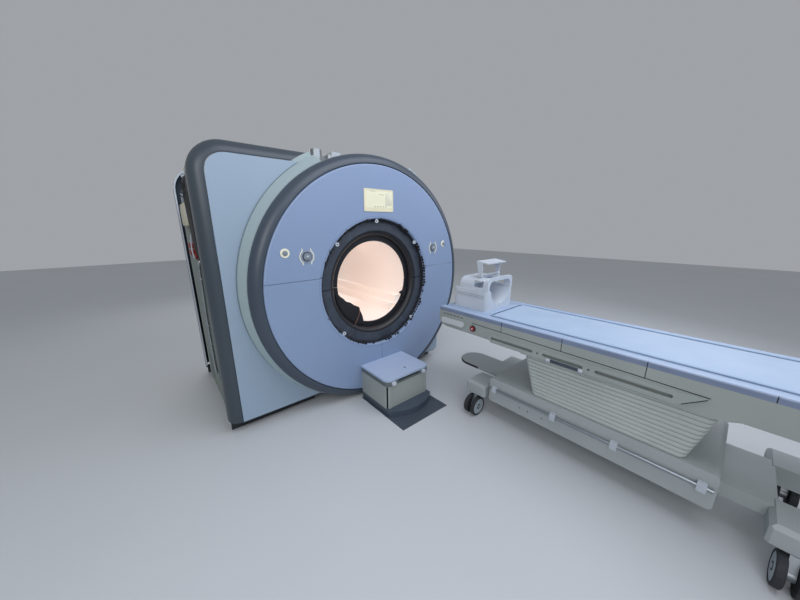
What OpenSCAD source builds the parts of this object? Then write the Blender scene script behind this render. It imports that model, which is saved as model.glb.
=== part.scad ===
// Wide-bore MRI scanner: magnet with its covers, docking station and wheeled patient table.
// Origin on the floor under the isocentre, +Y into the bore from the front, +Z up, millimetres.

/* [Bore] */
// Height of the bore axis above the floor
axis_h = 985; // [975:1:995]
// Inner radius of the patient bore
bore_r = 350; // [348:1:352]
// Wall of the bore liner
liner_wall = 7; // [5:0.5:8]
// Distance from the isocentre to the front lip of the liner
liner_front = 688; // [675:1:692]
// Distance from the isocentre to the rear end of the liner
liner_rear = 640; // [630:1:650]
// Depth of the table ledge below the bore axis
ledge_drop = 228; // [224:1:232]
// Height of the rail lip above the ledge
rail_lip = 66; // [40:1:70]
// Thickness of the rail walls
rail_wall = 14; // [10:1:18]

/* [Vacuum vessel] */
// Outer radius of the vacuum vessel
vessel_r = 880; // [860:1:890]
// Radius of the warm bore of the vessel
warm_bore_r = 462; // [458:1:470]
// Length of the vessel
vessel_len = 1240; // [1200:2:1250]
// Radius of the rolled edges of the vessel's end plates
vessel_edge_r = 60; // [40:1:80]
// Distance between the left and right floor anchors
anchor_x = 1470; // [1440:2:1500]
// Distance between the front and rear floor anchors
anchor_y = 760; // [700:2:800]
// Radius of the floor anchor holes
anchor_r = 11; // [9:0.5:13]
// Outer radius of the gradient coil
gradient_r = 455; // [450:1:456]
// Length of the gradient coil
gradient_len = 1200; // [1160:2:1220]

/* [Front face] */
// Distance from the isocentre to the face plane
face_to_centre = 800; // [790:1:820]
// Radius of the face disc
face_r = 935; // [928:1:938]
// Radius of the hole that the bore funnel fills
face_hole_r = 531; // [525:1:535]
// Wall of all moulded covers
cover_wall = 6; // [4:0.5:7]
// Height of the joint between upper and lower covers above the bore axis
split_h = 106; // [90:1:120]
// Width of the joints between covers
seam = 3; // [2:0.5:4]
// Width and depth of the rounded rim round the face
rim_w = 73; // [70:1:78]
// Ground clearance of the flat at the bottom of the rim
rim_clearance = 12; // [8:1:20]
// Outer radius of the collar where it meets the side panels
collar_r = 1052; // [1046:1:1058]
// Height of the collar's centre over the bore axis, which makes it wider at the top
collar_rise = 16; // [10:1:20]
// Angle at which the collar ends at the top, from the horizontal
collar_top_angle = 64.5; // [60:0.5:70]

/* [Side and rear covers] */
// Half width of the side panels' outer edge from the bore axis
panel_half_w = 1130; // [1115:1:1140]
// Height of the side panels' top edge above the floor
panel_top = 1894; // [1880:1:1900]
// Height of the side panels' bottom edge above the floor
panel_bottom = 84; // [70:1:100]
// Depth of the side panels behind the face plane
panel_y = 169; // [160:1:175]
// Radius of the side panels' top corners
panel_corner_r = 126; // [90:1:135]
// Reach of the right side's corner piece from the bore axis
corner_piece_w = 900; // [880:1:920]
// Radius of the corner piece's lower corner
corner_piece_r = 45; // [30:1:60]
// Width of the dark border round the side panels
border_w = 80; // [70:1:85]
// Straight part of the border behind its rounding
border_skirt = 51; // [45:1:60]
// Distance from the isocentre to the rear panel
rear_to_centre = 700; // [690:1:720]
// Radius of the rear opening
rear_hole_r = 480; // [470:1:500]

/* [Service side] */
// Height of the top of the lower cabinet
cabinet_top = 1215; // [1190:1:1240]
// Height of the top of the service shelf
shelf_h = 1650; // [1640:1:1670]
// Radius of the cooling pipes
pipe_r = 14; // [12:0.5:16]
// Number of cables that run to the turret
cable_count = 4; // [3:1:5]
// Radius of the cables that run to the turret
cable_r = 13; // [10:0.5:15]

/* [Controls] */
// Distance of the jog dials from the bore axis, sideways
dial_x = 625; // [615:1:635]
// Height of the jog dials above the bore axis
dial_z = 271; // [262:1:280]
// Radius of the jog dials
dial_r = 26; // [24:0.5:28]
// Distance of the stop buttons from the bore axis, sideways
stop_x = 773; // [765:1:785]
// Height of the stop buttons above the bore axis
stop_z = 303; // [295:1:310]
// Radius of the stop buttons
stop_r = 17; // [15:0.5:19]
// Travel of a stop button
button_travel = 4; // [3:0.5:5]
// Width of the display
display_w = 282; // [270:1:290]
// Height of the display
display_h = 168; // [160:1:175]
// Height of the display's lower edge above the bore axis
display_z = 585; // [575:1:590]

/* [Docking station] */
// Width of the docking station's lid
dock_w = 456; // [440:2:470]
// Length of the docking station's lid in front of the face
dock_len = 365; // [350:1:375]
// Height of the lid's top above the floor
dock_h = 300; // [290:1:310]
// Reach of the foot step in front of the face
step_len = 470; // [455:1:485]
// Reach of the floor plate in front of the face
plate_len = 571; // [560:1:580]

/* [Patient table] */
// Distance of the parked table's centre line from the bore axis
table_x = 675; // [660:1:690]
// Gap between the face plane and the table's head end
table_gap = 358; // [350:1:370]
// Length of the table
table_len = 2400; // [2380:5:2420]
// Width of the table frame
frame_w = 640; // [630:2:650]
// Height of the table frame's top
frame_top = 798; // [794:1:800]
// Height of the frame's underside at its ends
frame_belly = 640; // [635:1:645]
// Height of the frame's underside over the bellows
frame_seat = 620; // [615:1:625]
// Width of the sliding board
board_w = 500; // [490:2:504]
// Side clearance of the board in its channel
board_gap = 3; // [2:0.5:4]
// Thickness of the mattress
mattress_t = 30; // [24:1:36]
// Height of the edge strips
strip_h = 28; // [24:1:30]
// Distance between the joints of the edge strips
strip_pitch = 401; // [390:1:410]

/* [Trolley] */
// Width of the trolley's base
base_w = 600; // [580:2:610]
// Height of the base's underside
base_low = 150; // [148:1:165]
// Height of the base's top, where the bellows stand
base_top = 340; // [335:1:350]
// Distance from the face plane to the base's front
base_front = 872; // [870:1:900]
// Distance from the face plane to the base's rear
base_rear = 2072; // [2060:1:2100]
// Distance from the face plane to the front casters' swivel axes
caster_front = 770; // [765:1:780]
// Distance from the face plane to the rear casters' swivel axes
caster_rear = 2310; // [2295:1:2325]
// Distance of the caster pods' middles from the table's centre line
pod_x = 235; // [230:1:240]
// Distance of the swivel axes from the table's centre line
caster_x = 290; // [286:1:292]
// Radius of the caster wheels
wheel_r = 75; // [70:1:76]
// Width of one caster wheel
wheel_w = 30; // [26:1:32]
// Distance between swivel axis and wheel axle
caster_trail = 50; // [40:1:55]
// Distance from the face plane to the middle of the bellows
bellows_y = 1562; // [1555:1:1570]
// Half length of the bellows at its top
bellows_half = 462; // [458:1:464]
// Number of bellows folds
fold_count = 11; // [9:1:13]
// Depth of a bellows fold
fold_depth = 13; // [10:1:16]

/* [Head coil] */
// Width of the coil's base
coil_w = 370; // [350:2:380]
// Length of the coil's base
coil_len = 320; // [300:2:340]
// Gap between the table's head end and the coil
coil_inset = 42; // [30:1:60]
// Height of the coil's base
coil_base_h = 157; // [150:1:165]
// Height of the coil's upper part
coil_top_h = 103; // [95:1:110]
// Radius of the head trough
trough_r = 135; // [125:1:140]
// Height of the mirror plate above the coil's top
mirror_h = 120; // [100:1:130]

/* [Hidden] */
$fn = 72;

// Clearance of parts that seat without touching
seat_gap = 0.3;
// Radial clearance of shafts and knobs in their bores
run_gap = 0.05;
// Room beyond a solid that a cut needs
over = 1;
// Size of the blocks that cut the whole scanner
cut = 3000;

liner_out = bore_r + liner_wall;
gradient_in = liner_out + 9;
vessel_front = face_to_centre - vessel_len / 2;
face_return = 36;
hole_return = 30;
edge_r = 12;
rim_in = face_r + 4;
rim_out = rim_in + rim_w;
rim_step = 3;
rim_skirt = 3;
rim_back = rim_step + rim_w + rim_skirt;
collar_flange_r = collar_r + 30;
wing_cut_r = collar_r + seam;
border_in = panel_half_w + seam;
border_out = border_in + border_w;
border_depth = border_w + border_skirt;
corner_x = panel_half_w - panel_corner_r;
corner_z = panel_top - panel_corner_r;
panel_to_toe = border_w + 6;
ring_y = 48;
ring_mouth_r = 448;
ring_round_r = 50;
boss_r = 20;
boss_circle_r = 760;

ledge_h = axis_h - ledge_drop;
table_foot = table_gap + table_len;
board_h = frame_top - ledge_h;
mattress_y = table_gap + coil_inset + coil_len + 50;
mattress_bed = frame_top - 18;
column_x = 80;
column_y = 140;
column_wall = 12;
column_low = 120;
lift_range = 200;
coil_y = table_gap + coil_inset + coil_len / 2;
coil_z = frame_top + coil_base_h;

// Colours
cover_blue = "#aab8cc";
cover_grey = "#9fb0bb";
dark_grey = "#4d555d";
charcoal = "#2c2f34";
white = "#e8eaec";
beige = "#c9c9c2";

// A rectangle about the origin with rounded corners
module rounded_rect(w, d, r) {
    square([w - 2 * r, d], center = true);
    square([w, d - 2 * r], center = true);
    for (sx = [-1, 1], sy = [-1, 1])
        translate([sx * (w / 2 - r), sy * (d / 2 - r)]) circle(r);
}

// A quarter of a ring in the quadrant of +X and -Y
module quarter_shell(r, wall) {
    difference() {
        circle(r);
        circle(r - wall);
        translate([-r - over, -r - over]) square([r + over, 2 * r + 2 * over]);
        translate([-r - over, 0]) square([2 * r + 2 * over, r + over]);
    }
}

// Moves a piece that is drawn from the face plane
module from_face() {
    translate([0, -face_to_centre, 0]) children();
}

// Turns a profile of radius and depth round an axis along Y, angles from +X towards +Z
module turn_at(x, z, from = 0, to = 360) {
    translate([x, 0, z]) rotate([90, 0, 0]) rotate([0, 0, from])
        rotate_extrude(angle = to - from) mirror([0, 1]) children();
}

module turn(from = 0, to = 360) {
    turn_at(0, axis_h, from, to) children();
}

// Extrudes an outline of X and Z from one depth to another
module front_plate(y0, y1) {
    translate([0, y1, 0]) rotate([90, 0, 0]) linear_extrude(y1 - y0) children();
}

// Extrudes an outline of Y and Z from one X to another
module side_plate(x0, x1) {
    translate([x0, 0, 0]) rotate([90, 0, 90]) linear_extrude(x1 - x0) children();
}

// Puts a piece that is drawn at the bore axis and points to +X at an angle round the bore
module clock(angle) {
    translate([0, 0, axis_h]) rotate([0, -angle, 0]) children();
}

// A round bar along Y
module bar_y(r, y0, y1) {
    translate([0, y0, 0]) rotate([-90, 0, 0]) cylinder(r = r, h = y1 - y0);
}

// A round bar along X
module bar_x(r, x0, x1) {
    translate([x0, 0, 0]) rotate([0, 90, 0]) cylinder(r = r, h = x1 - x0);
}

// Vacuum vessel with rolled end plates, girth flanges and four welded feet

module vessel_profile() {
    half = vessel_len / 2;
    flat_r = vessel_r - vessel_edge_r;
    translate([warm_bore_r, -half]) square([flat_r - warm_bore_r, vessel_len]);
    translate([flat_r - over, -half + vessel_edge_r])
        square([vessel_edge_r + over, vessel_len - 2 * vessel_edge_r]);
    for (s = [-1, 1]) {
        translate([flat_r, s * (half - vessel_edge_r)]) circle(vessel_edge_r);
        translate([vessel_r - over, s * 430 - 12]) square([10 + over, 24]);
    }
}

module vessel_foot() {
    plate_t = 20;
    translate([anchor_x / 2 - 175, -120, 0]) difference() {
        union() {
            cube([230, 240, plate_t]);
            translate([20, 20, 0]) cube([120, 200, axis_h * 0.47]);
        }
        translate([175, 120, -over]) cylinder(r = anchor_r, h = plate_t + 2 * over);
    }
}

module cryostat() {
    color("#c7ccd0") {
        turn() vessel_profile();
        for (sx = [0, 1], sy = [-1, 1])
            mirror([sx, 0, 0]) translate([0, sy * anchor_y / 2, 0]) vessel_foot();
    }
}

module gradient_coil() {
    shim_count = 16;
    shim_pitch_r = (gradient_in + gradient_r) / 2;
    pad_len = 40;
    half = gradient_len / 2;
    color(charcoal) difference() {
        turn() {
            translate([gradient_in, -half]) square([gradient_r - gradient_in, gradient_len]);
            for (y = [-half, half - pad_len])
                translate([gradient_r - over, y])
                    square([warm_bore_r - seat_gap - gradient_r + over, pad_len]);
        }
        for (i = [0 : shim_count - 1])
            clock((i + 0.5) * 360 / shim_count)
                translate([shim_pitch_r - 8, -half - over, -17]) cube([16, 120, 34]);
    }
}

// Bore liner with its lip, support rings and bonded conductors

module bore_liner() {
    conductor = 2.5;
    rung_w = 20;
    ring_len = 50;
    coil_half = 350;
    rung_count = 16;
    color("#efe9e2") {
        turn() {
            translate([bore_r, -liner_front]) square([liner_wall, liner_front + liner_rear]);
            translate([bore_r, -liner_front]) square([2 * liner_wall, 12]);
            for (y = [-gradient_len / 2, gradient_len / 2 - 40])
                translate([liner_out - over, y])
                    square([gradient_in - seat_gap - liner_out + over, 40]);
            for (y = [-coil_half, coil_half - ring_len])
                translate([liner_out - over, y]) square([conductor + over, ring_len]);
        }
        for (i = [0 : rung_count - 1])
            clock((i + 0.5) * 360 / rung_count)
                translate([liner_out - over, -coil_half + ring_len / 2, -rung_w / 2])
                    cube([conductor, 2 * coil_half - ring_len, rung_w]);
    }
}

// Table rails: a ledge for the board with a lip beside it and a web down to the liner

module bore_rails() {
    rail_in = board_w / 2 + 6;
    ledge_in = rail_in - 66;
    color("#efe9e2")
        for (s = [0, 1])
            mirror([s, 0, 0])
                front_plate(-liner_front + 8, liner_rear - 8)
                    translate([0, axis_h]) intersection() {
                        circle(bore_r - seat_gap, $fn = 180);
                        union() {
                            translate([rail_in, -ledge_drop - rail_wall])
                                square([bore_r - rail_in, rail_lip + rail_wall]);
                            translate([ledge_in, -ledge_drop - rail_wall])
                                square([bore_r - ledge_in, rail_wall]);
                            translate([ledge_in, -bore_r])
                                square([rail_wall, bore_r - ledge_drop]);
                        }
                    }
}

// Charcoal half rings round the bore mouth and the foam ring in front of them

module end_ring_profile() {
    skin = 8;
    skirt_r = face_hole_r + 7;
    throat_r = ring_mouth_r - ring_round_r;
    throat_y = ring_y + ring_round_r;
    plate_y = face_to_centre - liner_front - seat_gap - skin;
    translate([ring_mouth_r, ring_y]) square([skirt_r - ring_mouth_r, skin]);
    translate([ring_mouth_r, throat_y]) mirror([1, 0]) quarter_shell(ring_round_r, skin);
    translate([throat_r, throat_y]) square([skin, plate_y + skin - throat_y]);
    translate([bore_r + 3, plate_y]) square([throat_r + skin - bore_r - 3, skin]);
    translate([skirt_r - skin, ring_y]) square([skin, vessel_front - ring_y]);
}

module end_rings() {
    joint_angle = 0.35;
    color(charcoal) from_face()
        for (start = [0, 180])
            turn(start + joint_angle, start + 180 - joint_angle) end_ring_profile();
}

function lumpy_r(a) = face_hole_r - 18 + 8 * sin(9 * a) + 3 * sin(23 * a + 40);

module acoustic_seal() {
    points = 120;
    color("#1f2124") from_face()
        front_plate(hole_return, ring_y) translate([0, axis_h]) difference() {
            circle(face_hole_r + 5, $fn = 180);
            polygon([for (i = [0 : points - 1]) let (a = i * 360 / points)
                lumpy_r(a) * [cos(a), sin(a)]]);
        }
}

// Hooks with an eye, fixed inside the edge of the face's hole
module funnel_clips() {
    hook_r = 14.5;
    eye_r = 7;
    thick = 8;
    stem = [8, 18, 9];
    stem_x = hook_r + 3 - stem.x;
    color(white) from_face()
        for (a = [138, 92, 40, -46, -135])
            clock(a) translate([face_hole_r - seat_gap - hook_r - 3, thick, 0]) {
                difference() {
                    bar_y(hook_r, 0, thick);
                    bar_y(eye_r, -over, thick + over);
                }
                translate([stem_x, 0, -stem.z / 2]) cube(stem);
            }
}

// Face covers: a shallow dish with rolled edges, cut into three and screwed to the vessel

module face_profile() {
    inner = face_hole_r + edge_r;
    outer = face_r - edge_r;
    translate([inner, 0]) square([outer - inner, cover_wall]);
    translate([outer, edge_r]) quarter_shell(edge_r, cover_wall);
    translate([face_r - cover_wall, edge_r]) square([cover_wall, face_return - edge_r]);
    translate([inner, edge_r]) mirror([1, 0]) quarter_shell(edge_r, cover_wall);
    translate([face_hole_r, edge_r]) square([cover_wall, hole_return - edge_r]);
}

module face_bosses(angles) {
    for (a = angles)
        clock(a) translate([boss_circle_r, 0, 0]) bar_y(boss_r, cover_wall / 2, vessel_front);
}

module face_upper() {
    color(cover_blue) from_face() difference() {
        union() {
            turn($fn = 180) face_profile();
            face_bosses([50, 75, 105, 130]);
        }
        translate([-cut / 2, -over, -cut + axis_h + split_h]) cube([cut, cut, cut]);
        for (s = [-1, 1]) {
            translate([s * dial_x, 0, axis_h + dial_z]) bar_y(dial_hub_r + seat_gap, -over, edge_r);
            translate([s * stop_x, 0, axis_h + stop_z]) bar_y(stop_hub_r + seat_gap, -over, edge_r);
        }
        front_plate(-over, edge_r) translate([0, axis_h + display_z + display_h / 2])
            rounded_rect(display_w + 2 * seat_gap, display_h + 2 * seat_gap, 8);
    }
}

module face_lower(side, angles) {
    color(cover_blue) from_face() difference() {
        union() {
            turn($fn = 180) face_profile();
            face_bosses(angles);
        }
        translate([-cut / 2, -over, axis_h + split_h - seam]) cube([cut, cut, cut]);
        translate([side > 0 ? -cut + seam / 2 : -seam / 2, -over, -cut / 2]) cube([cut, cut, cut]);
    }
}

module face_lower_left() {
    face_lower(-1, [200, 240]);
}

module face_lower_right() {
    face_lower(1, [300, 340]);
}

module face_rim() {
    foot_in = face_r - 2 * cover_wall;
    color(dark_grey) from_face() difference() {
        turn() {
            translate([rim_in, rim_step + rim_w]) quarter_shell(rim_w, cover_wall);
            translate([rim_out - cover_wall, rim_step + rim_w]) square([cover_wall, rim_skirt]);
            translate([rim_in, rim_step]) square([cover_wall, face_return - rim_step + cover_wall]);
            translate([foot_in, face_return]) square([rim_in + cover_wall - foot_in, cover_wall]);
        }
        translate([-cut / 2, -over, rim_clearance - cut]) cube([cut, cut, cut]);
    }
}

// Collar: flares from the rim back to the side panels, with a flange behind them

module collar_profile() {
    lip_in = rim_out - 40;
    front = panel_y - 30;
    polygon([
        [lip_in, rim_back],
        [rim_out + 5, rim_back],
        [collar_r, front],
        [collar_r, panel_y + cover_wall],
        [collar_flange_r, panel_y + cover_wall],
        [collar_flange_r, panel_y + 2 * cover_wall],
        [collar_r - cover_wall, panel_y + 2 * cover_wall],
        [collar_r - cover_wall, front + 2],
        [rim_out - 1, rim_back + cover_wall],
        [lip_in, rim_back + cover_wall]
    ]);
}

module collars() {
    reach = cut * [cos(collar_top_angle), sin(collar_top_angle)];
    color("#b9c6c4") from_face() difference() {
        translate([0, 0, collar_rise]) turn($fn = 180) collar_profile();
        front_plate(rim_out - cut, cut) translate([0, axis_h])
            polygon([[0, 0], reach, [-reach.x, reach.y]]);
        translate([-cut / 2, -over, panel_bottom - cut]) cube([cut, cut, cut]);
    }
}

// Side panels with rounded top corners, cut out round the collar

module panel_outline() {
    translate([-corner_x, panel_bottom]) square([2 * corner_x, panel_top - panel_bottom]);
    translate([-panel_half_w, panel_bottom]) square([2 * panel_half_w, corner_z - panel_bottom]);
    for (s = [-1, 1]) translate([s * corner_x, corner_z]) circle(panel_corner_r);
}

// The right side carries only a corner piece, which shows below the rim
module wing_panels() {
    color(cover_grey) from_face()
        front_plate(panel_y, panel_y + cover_wall) difference() {
            union() {
                intersection() {
                    panel_outline();
                    translate([-cut, 0]) square([cut - panel_half_w / 2 + 70, cut]);
                }
                intersection() {
                    translate([0, panel_bottom]) square([corner_piece_w, axis_h]);
                    translate([0, panel_bottom + cut / 2])
                        rounded_rect(2 * corner_piece_w, cut, corner_piece_r);
                }
            }
            translate([0, axis_h + collar_rise]) circle(wing_cut_r);
        }
}

// Rounded border: first coordinate outwards from the panel, second backwards from its face

module border_profile() {
    translate([0, border_w]) quarter_shell(border_w, cover_wall);
    translate([border_w - cover_wall, border_w]) square([cover_wall, border_skirt]);
    square([cover_wall, 26]);
}

module border_upright() {
    translate([border_in, 0, panel_bottom])
        linear_extrude(corner_z - panel_bottom) border_profile();
}

module border_corner() {
    turn_at(corner_x, corner_z, 0, 90) translate([panel_corner_r + seam, 0]) border_profile();
}

module border_top(x0, x1) {
    side_plate(x0, x1) translate([0, panel_top + seam]) mirror([1, -1]) border_profile();
}

module wing_frame() {
    color(dark_grey) from_face()
        mirror([1, 0, 0]) translate([0, panel_y, 0]) {
            border_upright();
            border_corner();
            difference() {
                border_top(collar_flange_r * cos(collar_top_angle) - 60, corner_x);
                translate([0, 0, axis_h + collar_rise])
                    bar_y(collar_flange_r + seam, -over, border_depth + over, $fn = 180);
            }
        }
}

// Recessed toe boards with the ledges that the covers stand on, first coordinate outwards

toe_x = 560;

module toe_board(out) {
    translate([toe_x, panel_to_toe, 0]) cube([out - toe_x, cover_wall, panel_bottom - cover_wall]);
}

module toe_ledge(out) {
    translate([toe_x, 0, panel_bottom - cover_wall])
        cube([out - toe_x, panel_to_toe + cover_wall, cover_wall]);
}

module border_plinth() {
    toe_board(border_out - 2 * cover_wall);
    toe_ledge(border_in + cover_wall);
    translate([border_in, border_w, panel_bottom - cover_wall])
        cube([border_out - border_in, border_skirt, cover_wall]);
}

module plinths() {
    corner_out = corner_piece_w - corner_piece_r;
    color("#23262a") {
        from_face() translate([0, panel_y, 0]) {
            mirror([1, 0, 0]) border_plinth();
            toe_board(corner_out);
            toe_ledge(corner_out);
        }
        for (s = [0, 1])
            mirror([s, 0, 0]) translate([0, rear_to_centre, 0]) mirror([0, 1, 0]) border_plinth();
    }
}

// Rear cover: rounded border, panel and funnel

module rear_frame() {
    color(dark_grey) translate([0, rear_to_centre, 0]) mirror([0, 1, 0]) {
        for (s = [0, 1])
            mirror([s, 0, 0]) {
                border_upright();
                border_corner();
            }
        border_top(-corner_x, corner_x);
    }
}

module rear_panel() {
    funnel_end = liner_rear + 8;
    color(cover_grey) {
        front_plate(rear_to_centre - cover_wall, rear_to_centre) difference() {
            panel_outline();
            translate([0, axis_h]) circle(rear_hole_r - over);
        }
        turn() polygon([
            [bore_r, liner_rear],
            [liner_out, liner_rear],
            [liner_out, funnel_end],
            [rear_hole_r, rear_to_centre - cover_wall],
            [rear_hole_r, rear_to_centre],
            [rear_hole_r - cover_wall, rear_to_centre],
            [bore_r, funnel_end]
        ]);
        for (a = [45, 135, 225, 315])
            clock(a) translate([boss_circle_r, 0, 0])
                bar_y(boss_r, vessel_len / 2, rear_to_centre - cover_wall / 2);
    }
}

// Service side, open because its cover is off

rack_out = border_out - 25;
rack_in = 905;
post = 40;
rack_half = 470;

module service_rack() {
    tube_wall = 3;
    tray = 10;
    color("#b8bcb6") mirror([1, 0, 0]) {
        for (s = [-1, 1])
            translate([rack_out - post, s * (rack_half - post / 2) - post / 2, 0]) difference() {
                cube([post, post, shelf_h - tray]);
                translate([tube_wall, tube_wall, -over])
                    cube([post - 2 * tube_wall, post - 2 * tube_wall, shelf_h]);
            }
        translate([rack_in, -rack_half, shelf_h - tray]) cube([rack_out - rack_in, 2 * rack_half, tray]);
        translate([rack_out - 4, -rack_half, shelf_h - 40]) cube([4, 2 * rack_half, 30]);
    }
}

module lower_cabinet() {
    half = rack_half - post - 5;
    foot = 60;
    door_gap = 4;
    louvre_count = 12;
    socket_r = 22;
    color("#8e9a92") mirror([1, 0, 0]) {
        difference() {
            translate([rack_in, -half, foot]) cube([rack_out - rack_in, 2 * half, cabinet_top - foot]);
            for (z = [foot + 330, foot + 760])
                translate([rack_out - door_gap, -half - over, z])
                    cube([door_gap + over, 2 * half + 2 * over, door_gap]);
            for (i = [0 : louvre_count - 1])
                translate([rack_out - 6, half - 330, foot + 60 + i * 20])
                    cube([6 + over, 240, 8]);
        }
        for (z = [foot + 470, foot + 560, foot + 650])
            translate([0, -half + 70, z]) bar_x(socket_r, rack_out - over, rack_out + 14);
        for (x = [rack_in + 30, rack_out - 30], y = [-half + 40, half - 40])
            translate([x, y, 0]) cylinder(r = 18, h = foot + over);
    }
}

module filter_boxes() {
    tray = 10;
    color("#dcd8c8") mirror([1, 0, 0]) {
        translate([rack_in + 30, -400, shelf_h]) cube([rack_out - rack_in - 40, 370, 210]);
        translate([rack_in + 30, -300, shelf_h - tray - 175])
            cube([rack_out - rack_in - 50, 400, 175]);
    }
}

pipe_x = rack_out - 45;
pipe_y = [-250, -180, -110, -40];
pipe_top = shelf_h - 10 - 175;

module cooling_pipes() {
    color("#9a9a94")
        for (y = pipe_y)
            translate([-pipe_x, y, cabinet_top]) cylinder(r = pipe_r, h = pipe_top - cabinet_top);
}

module hose_couplings() {
    color("#b5402b")
        for (y = pipe_y)
            translate([-pipe_x, y, cabinet_top + 30]) difference() {
                union() {
                    cylinder(r = pipe_r + 9, h = 70);
                    translate([0, 0, 14]) cylinder(r = pipe_r + 13, h = 16, $fn = 6);
                    translate([0, 0, 44]) cylinder(r = pipe_r + 13, h = 16, $fn = 6);
                }
                translate([0, 0, -over]) cylinder(r = pipe_r + seat_gap, h = 70 + 2 * over);
            }
}

// Turret on top of the vessel, with cold head and quench outlet

turret_x = [-180, 220];
turret_y = [-330, 240];
turret_top = axis_h + vessel_r + 180;

module turret() {
    quench_r = 55;
    wall_r = 40;
    centre = [(turret_x[0] + turret_x[1]) / 2, (turret_y[0] + turret_y[1]) / 2];
    color("#8d9498") {
        difference() {
            translate([centre.x, centre.y, axis_h + vessel_r - 60])
                linear_extrude(turret_top - axis_h - vessel_r + 60)
                    rounded_rect(turret_x[1] - turret_x[0], turret_y[1] - turret_y[0], wall_r);
            translate([0, 0, axis_h]) bar_y(vessel_r + seat_gap, -vessel_len / 2, vessel_len / 2);
        }
        translate([120, 120, turret_top - over]) {
            cylinder(r = 85, h = 15 + over);
            cylinder(r = 58, h = 75);
            translate([-50, -50, 70]) cube([100, 100, 60]);
        }
        translate([-80, 110, turret_top - over]) {
            cylinder(r = quench_r + 22, h = 15 + over);
            cylinder(r = quench_r, h = 130 + over);
        }
    }
}

module cable_bundle() {
    bend = 60;
    start_z = shelf_h + 210;
    level = start_z + bend;
    start_x = rack_in + 90;
    pitch = 48;
    color("#17181a")
        for (i = [0 : cable_count - 1])
            translate([-start_x, -280 + i * pitch, 0]) {
                turn_at(bend, start_z, 90, 180)
                    translate([bend, 0]) circle(cable_r);
                translate([bend, 0, level]) bar_x(cable_r, 0, start_x - bend + turret_x[0]);
            }
}

// Display above the bore

module display_bezel() {
    pocket = 5;
    margin = 10;
    flange = 6;
    color("#e6e2d2") from_face() translate([0, 0, axis_h + display_z + display_h / 2]) difference() {
        union() {
            front_plate(-4, 30) rounded_rect(display_w, display_h, 8);
            front_plate(cover_wall, cover_wall + flange)
                rounded_rect(display_w + 4 * flange, display_h + 2 * flange, 8);
        }
        translate([0, 0, margin]) front_plate(-4 - over, -4 + pocket)
            rounded_rect(display_w - 2 * margin, display_h - 4 * margin, 4);
    }
}

module display_screen() {
    margin = 10;
    color("#dfe3d8") from_face() translate([0, 0, axis_h + display_z + display_h / 2 + margin])
        front_plate(-3, 1) rounded_rect(display_w - 2 * margin - 2 * seat_gap,
            display_h - 4 * margin - 2 * seat_gap, 4 - seat_gap);
}

// Controls on both sides of the bore

dial_hub_r = dial_r + 13;
stop_hub_r = stop_r + 7;

// Light guides: two brackets that curve round the dial and run on above and below it
module light_guides() {
    guide_r = dial_r + 27;
    guide_w = 6;
    reach = 52;
    tail = 20;
    tail_x = guide_r * cos(reach) - guide_w * cos(reach) / 2;
    for (s = [0, 1])
        mirror([s, 0, 0]) {
            turn_at(0, 0, -reach, reach) translate([guide_r - guide_w, -2]) square([guide_w, 2]);
            for (m = [0, 1])
                mirror([0, 0, m])
                    translate([tail_x - guide_w / 2, -2, guide_r * sin(reach) - guide_w])
                        cube([guide_w, 2, tail]);
        }
}

module bezel_ring(inner, flange, hub) {
    difference() {
        union() {
            bar_y(flange, -3, 0);
            bar_y(hub, -over, 14);
        }
        bar_y(inner, -3 - over, 14 + over);
    }
}

module control_bezels() {
    color("#d9d6c4") from_face()
        for (s = [-1, 1]) {
            translate([s * dial_x, 0, axis_h + dial_z]) {
                bezel_ring(dial_r + run_gap, dial_r + 18, dial_hub_r);
                light_guides();
            }
            translate([s * stop_x, 0, axis_h + stop_z])
                bezel_ring(stop_r + run_gap, stop_r + 14, stop_hub_r);
        }
}

module jog_dial(side) {
    color("#9aa3ab") from_face() translate([side * dial_x, 0, axis_h + dial_z]) difference() {
        bar_y(dial_r, -14, 12);
        translate([0, 0, dial_r * 0.6]) bar_y(4, -14 - over, -12);
    }
}

module jog_dial_left() {
    jog_dial(-1);
}

module jog_dial_right() {
    jog_dial(1);
}

module stop_button(side) {
    color("#a2a6a2") from_face() translate([side * stop_x, 0, axis_h + stop_z]) {
        bar_y(stop_r, -8, 8);
        turn_at(0, 0) intersection() {
            translate([0, -8 + stop_r * 1.2]) circle(stop_r * 1.6);
            translate([0, -8 - stop_r]) square([stop_r * 0.8, stop_r]);
        }
    }
}

module stop_button_left() {
    stop_button(-1);
}

module stop_button_right() {
    stop_button(1);
}

// Docking station in front of the face, drawn with its depth from the face plane

dock_side = dock_w / 2 - 6;
dock_front = dock_len - 5;
lid_t = 16;
band_h = 38;
box_top = dock_h - lid_t - band_h;
box_low = 52;
plate_t = 3;

// Plan with rounded front corners, open to the face side
module dock_plan(half, len, r) {
    translate([-half, -len + r]) square([2 * half, len - r]);
    translate([-half + r, -len]) square([2 * half - 2 * r, r + over]);
    for (s = [-1, 1]) translate([s * (half - r), -len + r]) circle(r);
}

module dock_box() {
    wall = 5;
    recess = 3;
    color(beige) from_face() difference() {
        translate([0, 0, box_low]) linear_extrude(box_top - box_low)
            dock_plan(dock_side, dock_front, 36);
        translate([0, 0, box_low - over]) linear_extrude(box_top - box_low - wall + over)
            translate([-dock_side + wall, -dock_front + wall + recess])
                square([2 * (dock_side - wall), dock_front - 2 * wall - recess]);
        translate([-dock_side + 46, -dock_front - over, box_low - over])
            cube([2 * dock_side - 92, recess + over, box_top - box_low - 16 + over]);
    }
}

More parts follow.
